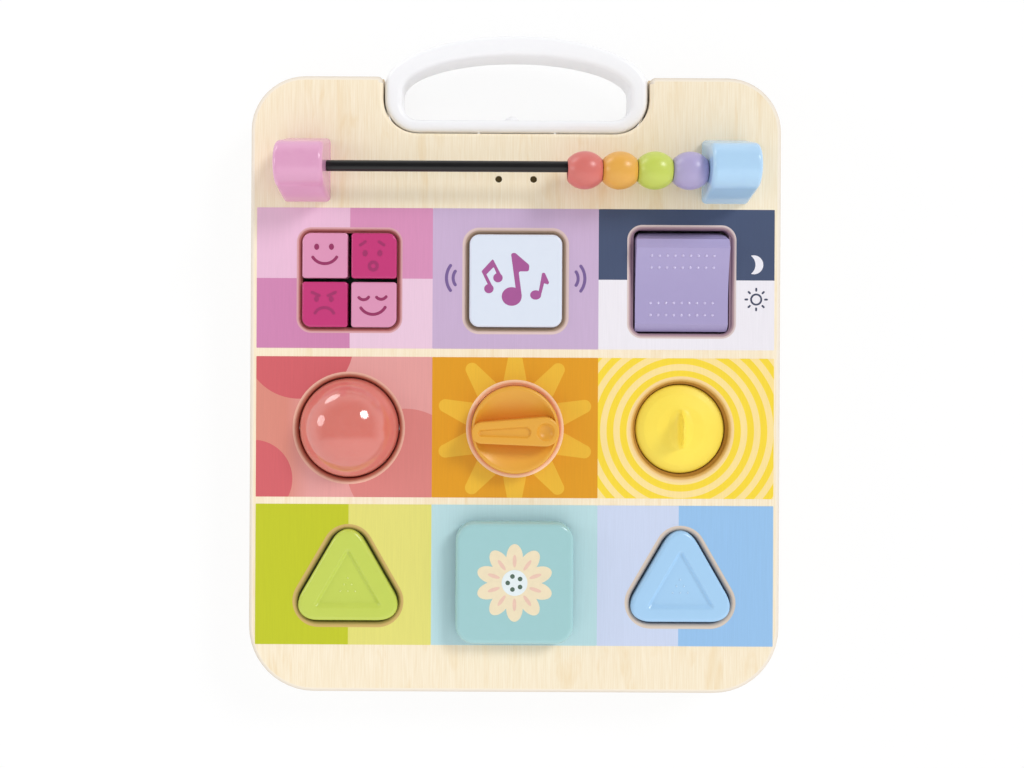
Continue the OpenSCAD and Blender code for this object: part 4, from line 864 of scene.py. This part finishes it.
faces = dict(cap=24.9, step=13.45, outer=5.0, inner=1.6, low=27.0, top=39.5, edge=1.1, eyeLift=0.05,
             ink=dict(pink="#983062", magenta="#A52C68"))
moods = dict(
    happy=("pink", -1, 1, [(-4.5, 4.7, 1.35, 1.7), (3.6, 4.8, 1.35, 1.7)],
           [[(-6.6, -1.0), (0, -4.5), (6.5, -0.9)]], None),
    surprised=("magenta", 1, 1, [(-4.8, 1.3, 1.4, 1.75), (3.3, 1.4, 1.4, 1.75)],
               [[(-7.4, 5.8), (-4.8, 7.6)], [(2.9, 7.6), (5.5, 5.9)]], (-0.3, -5.7, 3.05, 1.2)),
    cross=("magenta", -1, -1, [(-4.5, 3.0, 1.3, 1.6), (3.6, 3.0, 1.3, 1.6)],
           [[(-6.9, 6.6), (-3.0, 4.9)], [(2.0, 4.9), (5.8, 6.6)],
            [(-5.2, -4.7), (-0.1, -1.7), (5.0, -4.7)]], None),
    calm=("pink", 1, -1, [],
          [[(-8.1, 3.9), (-5.5, 2.7), (-2.8, 4.1)], [(1.6, 4.1), (4.2, 3.0), (6.8, 4.4)],
           [(-7.0, -1.8), (-0.3, -5.3), (6.3, -1.4)]], None))
for name, (colour, sx, sy, eyes, lines, mouth) in moods.items():
    x, y = columns[0] + sx * faces["step"], rows[0] + sy * faces["step"]
    # the corner at the outside of the four is rounder
    corners = [(cx, cy, faces["outer"] if (cx - x) * sx > 0 and (cy - y) * sy > 0 else r)
               for cx, cy, r in box(x, y, faces["cap"], faces["cap"], faces["inner"])]
    addPiece(name + "Button", softBlock(corners, faces["low"], faces["top"], faces["edge"]), plastics[colour],
             name + "_button", colour + "_plastic", name + "_button")
    low, high = faces["top"], faces["top"] + signs["layer"]
    sign = bmesh.new()
    for dx, dy, rx, ry in eyes:
        join(sign, plate([ring(x + dx, y + dy, rx, ry)], low, high + faces["eyeLift"]))
    for points in lines:
        join(sign, stroke([(x + px, y + py) for px, py in points], signs["stroke"], low, high))
    if mouth:
        dx, dy, outer, inner = mouth
        join(sign, plate([ring(x + dx, y + dy, outer), ring(x + dx, y + dy, inner)], low, high))
    addPiece(name + "Face", sign, makeInk(name + "FaceInk", faces["ink"][colour]), name + "_button",
             colour + "_plastic")
print("face buttons made")

# music button

music = dict(
    cap=50.8, radius=5.5, low=27.0, top=41.5, edge=1.6, headLift=0.02, ink="#A85696",
    heads=((-2.2, -8.6, 5.45, 5.1), (-14.7, -4.4, 2.55, 2.5), (-9.75, 1.6, 2.55, 2.5),
           (10.9, -7.7, 3.0, 2.55)),
    stems=([(-2.75, 15.2, 1.2), (-0.3, 15.2, 1.4), (7.4, 8.6, 1.7), (7.1, 5.15, 1.3), (1.5, 5.15, 1.0),
            (3.3, -8.2), (0.5, -8.0)],
           [(-18.75, 5.1, 0.4), (-12.6, 11.9, 0.5), (-7.2, 1.6), (-9.8, 2.1), (-12.1, 7.5, 0.4),
            (-16.1, 3.4, 0.3), (-12.1, -4.3), (-14.25, -4.2)],
           [(14.4, 4.45, 0.7), (15.8, 4.45, 0.8), (18.3, -0.95, 0.6), (17.5, -2.0, 0.5), (15.5, -1.2, 0.3),
            (13.8, -7.9), (12.3, -7.3)]))
cap = softBlock(box(*controls[1], music["cap"], music["cap"], music["radius"]),
                music["low"], music["top"], music["edge"], 6)
addPiece("musicButton", cap, plastics["paleBlue"], "music_button", "pale_blue_plastic", "music_button")
low, high = music["top"], music["top"] + signs["layer"]
notes = bmesh.new()
for x, y, rx, ry in music["heads"]:
    join(notes, plate([ring(x, rows[0] + y, rx, ry)], low, high + music["headLift"]))
for stem in music["stems"]:
    join(notes, plate([fillet([(x, rows[0] + y, *r) for x, y, *r in stem])], low, high))
addPiece("musicNotes", notes, makeInk("plumInk", music["ink"]), "music_button", "pale_blue_plastic")
print("music button made")

# rocker: its side view, drawn about the pin, trims a block with rounded corners

rocker = dict(width=51.0, reach=28.1, ridge=21.0, top=17.0, dish=2.2, tilt=8.0, pivotZ=24.0, corner=4.4,
              edge=2.0, brow=(25.6, 14.6), shoulder=14.0, foot=-4.0, blank=60.0, blockLow=-4.0,
              blockTop=22.0, blockEdge=0.5, brimAngle=0.4, brimLow=3.0,
              dotPitch=4.26, dotRows=(16.6, 10.0, -9.6, -16.2), dotRadius=0.85, dotSink=0.3)
bow = (rocker["ridge"] ** 2 + rocker["dish"] ** 2) / (2 * rocker["dish"])
bowZ = rocker["top"] + bow - rocker["dish"]
shape = bmesh.new()
hollow = shape.verts.new((0, -rocker["ridge"], rocker["top"]))
bmesh.ops.spin(shape, geom=[hollow], cent=(0, 0, bowZ), axis=(1, 0, 0),
               angle=2 * math.asin(rocker["ridge"] / bow), steps=24)
turn = math.radians(rocker["shoulder"])
for end in (-1, 1):
    # the ends are round about the pin
    tip = shape.verts.new((0, end * rocker["reach"] * math.cos(turn), rocker["reach"] * math.sin(turn)))
    bmesh.ops.spin(shape, geom=[tip], cent=(0, 0, 0), axis=(-end, 0, 0),
                   angle=turn - math.radians(rocker["foot"]), steps=10)
bmesh.ops.remove_doubles(shape, verts=shape.verts, dist=0.001)
loose = [v for v in shape.verts if len(v.link_edges) == 1]
feet = []
for end in (-1, 1):
    crest, tip, foot = sorted((v for v in loose if v.co.y * end > 0), key=lambda v: -v.co.z)
    brow = shape.verts.new((0, end * rocker["brow"][0], rocker["brow"][1]))
    shape.edges.new((crest, brow))
    shape.edges.new((brow, tip))
    feet.append(foot)
shape.edges.new(feet)
slab(shape, rocker["blank"])
block = softBlock(box(0, 0, rocker["width"], 2 * rocker["reach"], rocker["corner"]),
                  rocker["blockLow"], rocker["blockTop"], rocker["blockEdge"], 2)
block = carve(block, shape, keep="INTERSECT")
bmesh.ops.remove_doubles(block, verts=block.verts, dist=0.002)
brim = [e for e in block.edges if e.is_manifold and e.calc_face_angle() > rocker["brimAngle"]
        and e.verts[0].co.z > rocker["brimLow"]]
bevel(block, brim, rocker["edge"], 4, clamp=True)
move(block, *controls[2], rocker["pivotZ"], rocker["tilt"], "X")
addPiece("rocker", block, plastics["lavender"], "rocker", "lavender_plastic", "rocker")
# the rocker's dots use a lighter copy of the lavender: painted highlight
dots = bmesh.new()
for y in rocker["dotRows"]:
    z = bowZ - math.sqrt(bow ** 2 - y ** 2) - rocker["dotSink"]
    for k in range(-4, 5):
        addDot(dots, (k * rocker["dotPitch"], y, z), rocker["dotRadius"])
move(dots, *controls[2], rocker["pivotZ"], rocker["tilt"], "X")
addPiece("rockerDots", dots, plastics["lavenderDot"], "rocker", "lavender_plastic")
print("rocker made")

# ball, in two halves with a fine parting line

ball = dict(radius=27.5, z=33.0, parting=0.35, gap=0.02)
for name, side, node in (("ballFront", 1, "ball_front"), ("ballRear", -1, "ball_rear")):
    bm = bmesh.new()
    bmesh.ops.create_uvsphere(bm, u_segments=96, v_segments=64, radius=ball["radius"])
    bmesh.ops.bisect_plane(bm, geom=bm.verts[:] + bm.edges[:] + bm.faces[:],
                           plane_co=(0, 0, ball["gap"] * side), plane_no=(0, 0, side), clear_inner=True)
    rim = [e for e in bm.edges if e.is_boundary]
    bmesh.ops.contextual_create(bm, geom=rim)
    bevel(bm, rim, ball["parting"], 2)
    addPiece(name, move(bm, *controls[3], ball["z"]), plastics["coral"], "ball", "red_plastic", node)
print("ball made")

# dial: a knob scooped on both sides of a pointer, which has a groove and a dimple

dial = dict(radius=23.8, low=29.3, top=48.0, rim=1.4, rimStep=0.4, scoop=6.5, scoopIn=1.9, scoopPower=0.9,
            pointerTop=54.0, pointerDeep=12.0, pointerEdge=1.1, pointerY=-0.8, lean=1.4,
            tail=(-23.5, 5.4, 5.2), nose=(23.6, 8.4, 7.8), grooveTail=(-20.4, 2.0, 1.9),
            grooveNose=(8.7, 3.5, 3.2), dimpleX=16.2,
            groove=((0.0, 0.0), (0.2, 0.1), (0.45, 0.45), (0.75, 1.0), (1.0, 1.3), (1.3, 1.4)),
            dimple=((5.1, 0.0), (4.8, 0.3), (4.3, 1.0), (3.5, 1.8), (2.5, 2.4), (1.2, 2.75)))


def taper(tail, nose, inset=0.0):
    # corners of a bar from its narrow end to its wide one, each end given as x, half width and corner radius
    (x1, h1, r1), (x2, h2, r2) = tail, nose
    return [(x1 + inset, inset - h1, r1 - inset), (x2 - inset, inset - h2, r2 - inset),
            (x2 - inset, h2 - inset, r2 - inset), (x1 + inset, h1 - inset, r1 - inset)]


r, low, top, step = dial["radius"], dial["low"], dial["top"], dial["rimStep"]
flat = r - dial["rim"]
knob = turned([(0, low), (r, low), (r, top - dial["rim"]), (r - step, top - step), (flat, top)]
              + [(flat - k * flat / 24, top) for k in range(1, 25)], 128)
inner = r - dial["scoopIn"]
for v in knob.verts:
    if v.co.z > top - 0.01 and v.co.xy.length < inner:
        # each side of the bar is scooped, deepest beside the bar
        out = abs(v.co.y) / math.sqrt(max(1.0, inner ** 2 - v.co.x ** 2))
        v.co.z -= dial["scoop"] * max(0.0, 1 - out) ** dial["scoopPower"]
pointer = softBlock(taper(dial["tail"], dial["nose"]), top - dial["pointerDeep"], dial["pointerTop"],
                    dial["pointerEdge"])
rim = openLid(pointer)
top = dial["pointerTop"]
groove = [openRing(pointer, taper(dial["grooveTail"], dial["grooveNose"], inset), top - deep)
          for inset, deep in dial["groove"]]
dimple = [addCircle(pointer, 48, radius, Matrix.Translation((dial["dimpleX"], 0, top - deep)))
          for radius, deep in dial["dimple"]]
bmesh.ops.triangle_fill(pointer, use_beauty=True, edges=rim + groove[0] + dimple[0])
sink(pointer, groove)
sink(pointer, dimple)
move(pointer, y=dial["pointerY"], turn=dial["lean"])
move(join(knob, pointer), *controls[4])
addPiece("dialKnob", knob, plastics["amber"], "dial", "orange_plastic", "dial_knob", smooth=50)
print("dial made")

# spinner: a domed disc with two fine ridges, and a standing half disc that flares out into it

spinner = dict(
    radius=24.5, rimZ=33.0, under=-2.5, underRim=-1.7, underIn=0.8,
    rim=((0.0, 0.0), (0.1, 0.5), (0.4, 0.95), (0.9, 1.3), (1.7, 1.6)),
    dome=((20.1, 2.5), (19.9, 2.62), (19.7, 2.6), (16.5, 3.4), (13.5, 4.0), (13.3, 4.1), (13.1, 4.08),
          (9.5, 4.55), (0, 4.8)),
    finBase=36.9, finTop=51.0, finReach=9.2, finHalf=0.75, finRound=0.97,
    flare=1.7, flareX=10.0, flareY=2.6, levels=26)
r, z = spinner["radius"], spinner["rimZ"]
under = z + spinner["under"]
disc = turned([(0, under), (r - spinner["underIn"], under), (r, z + spinner["underRim"])]
              + [(r - inset, z + rise) for inset, rise in spinner["rim"]]
              + [(radius, z + rise) for radius, rise in spinner["dome"]], 128)
fin = bmesh.new()
rings = []
for level in range(spinner["levels"] + 1):
    t = math.sin(math.pi / 2 * level / spinner["levels"])
    rise = (spinner["finTop"] - spinner["finBase"]) * t
    out = math.exp(-rise / spinner["flare"])
    wide = spinner["finHalf"] + spinner["flareX"] * out
    long = spinner["finReach"] * math.sqrt(1 - spinner["finRound"] * t * t) + spinner["flareY"] * out
    place = Matrix.Translation((0, 0, spinner["finBase"] + rise))
    rings.append(addCircle(fin, 72, 1.0, place @ Matrix.Diagonal((wide, long, 1, 1))))
for below, above in zip(rings, rings[1:]):
    bmesh.ops.bridge_loops(fin, edges=below + above)
for end in (rings[0], rings[-1]):
    bmesh.ops.contextual_create(fin, geom=end)
disc = move(carve(disc, fin, keep="UNION"), *controls[5])
addPiece("spinner", disc, plastics["yellow"], "spinner", "yellow_plastic", "spinner", smooth=45)
print("spinner made")

# triangle buttons

triangles = dict(radius=10.4, low=27.0, top=40.5, edge=2.3, sunkSide=33.1, floorSide=29.2, sunkRadius=2.0,
                 floorRadius=0.6, sunkDrop=1.3, sink=1.8, dotRadius=0.55, dotSink=0.15,
                 slope=((0.0, 0.0), (0.15, 0.06), (0.35, 0.27), (0.65, 0.73), (0.85, 0.94), (1.0, 1.0)),
                 dots=((0, -1.2), (-2.05, -4.8), (2.05, -4.8), (-4.1, -8.4), (0, -8.4), (4.1, -8.4)))
for name, i, colour, slot in (("green", 6, "lime", "lime_plastic"), ("blue", 8, "sky", "blue_plastic")):
    x, y = controls[i]
    top, floorZ = triangles["top"], triangles["top"] - triangles["sink"]
    bm = softBlock(triangle(x, y, board["triangleSide"], triangles["radius"]), triangles["low"], top,
                   triangles["edge"], 6)
    rim = openLid(bm)
    hollow = []
    for t, deep in triangles["slope"]:
        # the hollow's corners are rounder at the top than on its floor
        side = triangles["sunkSide"] + t * (triangles["floorSide"] - triangles["sunkSide"])
        r = triangles["sunkRadius"] + t * (triangles["floorRadius"] - triangles["sunkRadius"])
        corners = triangle(x, y - triangles["sunkDrop"], side, r)
        hollow.append(openRing(bm, corners, top - triangles["sink"] * deep))
    bmesh.ops.triangle_fill(bm, use_beauty=True, edges=rim + hollow[0])
    sink(bm, hollow)
    addPiece(name + "Triangle", bm, plastics[colour], name + "_button", slot, name + "_button", smooth=30)
    # the dots use a lighter copy of the button's plastic: painted highlight
    dots = bmesh.new()
    for dx, dy in triangles["dots"]:
        addDot(dots, (x + dx, y + dy, floorZ - triangles["dotSink"]), triangles["dotRadius"])
    addPiece(name + "Dots", dots, plastics[colour + "Dot"], name + "_button", slot)
print("triangles made")

# tile with a plain daisy

tile = dict(width=64.0, height=66.0, radius=10.0, low=41.6, top=49.0, edge=2.8,
            stem=36.0, stemRadius=6.0, stemLow=27.0, stemTop=42.0, stemEdge=0.3)
body = softBlock(box(*controls[7], tile["width"], tile["height"], tile["radius"]),
                 tile["low"], tile["top"], tile["edge"], 8)
stem = softBlock(box(*controls[7], tile["stem"], tile["stem"], tile["stemRadius"]),
                 tile["stemLow"], tile["stemTop"], tile["stemEdge"], 2)
addPiece("tileButton", join(body, stem), plastics["teal"], "tile_button", "teal_plastic", "tile_button")

# each layer of ink lies a hair higher than the one below it, and every other petal too
daisy = dict(petals=10, petal=(13.4, 0, 7.6, 4.5), petalLift=0.02, stripe=(11.8, 0, 3.4, 1.0),
             stripeLift=0.05, heart=7.0, heartLift=0.075, seed=(3.7, 0, 1.25), seedLift=0.1, rise=0.6,
             ink=dict(cream="#EDDEBD", salmon="#EAC5B3", pale="#E4EEF0", darkGreen="#556C5D"))
low, high = tile["top"], tile["top"] + signs["layer"]
x, y = controls[7][0], controls[7][1] + daisy["rise"]
petals, stripes, seeds = bmesh.new(), bmesh.new(), bmesh.new()
for k in range(daisy["petals"]):
    step = 360 / daisy["petals"]
    turn = step * k + step / 2
    petal = plate([ring(*daisy["petal"])], low, high + daisy["petalLift"] * (k % 2))
    join(petals, move(petal, x, y, 0, turn))
    join(stripes, move(plate([ring(*daisy["stripe"])], low, high + daisy["stripeLift"]), x, y, 0, turn))
    if k % 2:
        join(seeds, move(plate([ring(*daisy["seed"])], low, high + daisy["seedLift"]), x, y, 0, step * k))
heart = plate([ring(x, y, daisy["heart"])], low, high + daisy["heartLift"])
for name, bm, ink in (("daisyPetals", petals, "cream"), ("daisyStripes", stripes, "salmon"),
                      ("daisyHeart", heart, "pale"), ("daisySeeds", seeds, "darkGreen")):
    addPiece(name, bm, makeInk(ink + "Ink", daisy["ink"][ink]), "tile_button", "teal_plastic")
print("tile made")

# finish of the CAD nodes that keep their shape

finishes = {
    railBirch: ("left_rail", "right_rail", "bottom_rail", "top_rail", "back_panel"),
    steel: ("back_screws", "inner_screws", "rocker_pin", "ball_axle", "spinner_spindle", "battery_contacts",
            "door_screws", "dial_clip"),
    plastics["grey"]: ("face_guide", "music_guide", "rocker_guide", "axle_keepers", "dial_bush",
                       "green_guide", "blue_guide", "tile_guide"),
    # the spinner's cup takes the spinner hole's edge finish, with its painted shade and painted reflected
    # yellow
    cutBirchAndShade[5]: ("spinner_cup",),
    plastics["silicone"]: ("happy_dome", "surprised_dome", "cross_dome", "calm_dome", "music_dome",
                           "green_dome", "blue_dome", "tile_dome"),
    plastics["white"]: ("battery_box", "battery_door", "power_switch"),
    plastics["dark"]: ("speaker", "power_slider"),
    plastics["circuit"]: ("circuit_boards",),
    plastics["insulation"]: ("wiring",),
    plastics["cell"]: ("cells",)}
for material, names in finishes.items():
    for name in names:
        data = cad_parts[name].data
        data.materials.clear()
        data.materials.append(material)
print("CAD nodes finished")

# studio: white floor, light from all round that is stronger towards the foot, a soft key from the upper
# right, a low fill from the left and another behind the upper left corner

studio = dict(head=0.34, foot=1.22, overhead=0.15, floorMix=0.88, floorSize=4.0, floorDrop=0.0002,
              key=0.24, keyFrom=(0.596, 0.521, 0.612), keyAngle=18.0,
              edgePower=2.1, edgeFrom=(-0.76, 1.08, 0.16), edgeSize=(0.64, 0.33),
              fillPower=1.8, fillFrom=(-1.15, 0.26, 0.53), fillSize=(0.44, 0.42))


def whiteForCamera(tree):
    path = addNode(tree, "ShaderNodeLightPath")
    seen = addNode(tree, "ShaderNodeMath", {
        0: path.outputs["Is Camera Ray"], 1: path.outputs["Is Glossy Ray"]}, operation="MAXIMUM")
    return addNode(tree, "ShaderNodeMath", {0: seen.outputs[0], 1: path.outputs["Is Transmission Ray"]},
                   operation="MAXIMUM").outputs[0]


world = bpy.data.worlds.new("studio")
scene.world = world
world.use_nodes = True
tree = world.node_tree
tree.nodes.clear()
# in gloss the white paper shows low down and towards the board's foot, and the room overhead is dim
way = addNode(tree, "ShaderNodeTexCoord")
apart = addNode(tree, "ShaderNodeSeparateXYZ", {0: way.outputs["Generated"]})
upward, headward = apart.outputs["Z"], apart.outputs["Y"]
level = addNode(tree, "ShaderNodeMapRange", {"Value": upward, "From Min": 0.55, "From Max": 0.15})
foot = addNode(tree, "ShaderNodeMapRange", {"Value": headward, "From Min": -0.25, "From Max": -0.45})
paper = addNode(tree, "ShaderNodeMath", {0: level.outputs[0], 1: foot.outputs[0]}, operation="MAXIMUM")
room = addNode(tree, "ShaderNodeMapRange", {
    "Value": paper.outputs[0], "To Min": studio["overhead"], "To Max": 1.0})
rays = addNode(tree, "ShaderNodeLightPath")
seen = addNode(tree, "ShaderNodeMath", {0: room.outputs[0], 1: rays.outputs["Is Camera Ray"]},
               operation="MAXIMUM")
even = addNode(tree, "ShaderNodeMapRange", {
    "Value": headward, "From Min": 0.8, "From Max": -0.8, "To Min": studio["head"], "To Max": studio["foot"]})
glow = addNode(tree, "ShaderNodeBackground", {"Color": (1, 1, 1, 1), "Strength": even.outputs[0]})
white = addNode(tree, "ShaderNodeBackground", {"Color": (1, 1, 1, 1), "Strength": seen.outputs[0]})
both = addNode(tree, "ShaderNodeMixShader", {
    0: whiteForCamera(tree), 1: glow.outputs[0], 2: white.outputs[0]})
addNode(tree, "ShaderNodeOutputWorld", {"Surface": both.outputs[0]})

floorMaterial = bpy.data.materials.new("whitePaperFloor")
floorMaterial.use_nodes = True
tree = floorMaterial.node_tree
tree.nodes.clear()
share = addNode(tree, "ShaderNodeMath", {0: whiteForCamera(tree), 1: studio["floorMix"]},
                operation="MULTIPLY")
matt = addNode(tree, "ShaderNodeBsdfDiffuse", {"Color": (0.98, 0.98, 0.98, 1)})
lit = addNode(tree, "ShaderNodeEmission", {"Strength": 1.0})
both = addNode(tree, "ShaderNodeMixShader", {0: share.outputs[0], 1: matt.outputs[0], 2: lit.outputs[0]})
addNode(tree, "ShaderNodeOutputMaterial", {"Surface": both.outputs[0]})
bm = bmesh.new()
bmesh.ops.create_grid(bm, x_segments=1, y_segments=1, size=studio["floorSize"],
                      matrix=Matrix.Translation((0, 0, -studio["floorDrop"])))
floorMesh = bpy.data.meshes.new("floor")
bm.to_mesh(floorMesh)
bm.free()
floorMesh.materials.append(floorMaterial)
floor = bpy.data.objects.new("floor", floorMesh)
scene.collection.objects.link(floor)


def addLamp(name, kind, place, **settings):
    data = bpy.data.lights.new(name, kind)
    for key, value in settings.items():
        setattr(data, key, value)
    lamp = bpy.data.objects.new(name, data)
    lamp.location = place
    lamp.rotation_euler = Vector(place).to_track_quat("Z", "Y").to_euler()
    scene.collection.objects.link(lamp)


addLamp("key", "SUN", studio["keyFrom"], angle=math.radians(studio["keyAngle"]),
        energy=studio["key"] * math.pi / studio["keyFrom"][2])
for name in ("edge", "fill"):
    wide, tall = studio[name + "Size"]
    addLamp(name, "AREA", studio[name + "From"], energy=studio[name + "Power"], shape="ELLIPSE",
            size=wide, size_y=tall)
print("studio made")

# camera square to the board, with the photograph's perspective and its slight lean
# width, focal and shift are in pixels

view = dict(width=1024, focal=1164, shift=(25, -54), sensor=36.0, place=(-0.0156, 0.030, 0.678), lean=0.3)
cameraData = bpy.data.cameras.new("camera")
cameraData.sensor_width = view["sensor"]
cameraData.lens = view["focal"] / view["width"] * view["sensor"]
cameraData.shift_x, cameraData.shift_y = [pixels / view["width"] for pixels in view["shift"]]
cameraData.clip_start = 0.01
camera = bpy.data.objects.new("camera", cameraData)
camera.location = view["place"]
camera.rotation_euler = (0, 0, math.radians(view["lean"]))
scene.collection.objects.link(camera)
scene.camera = camera
print("camera set")
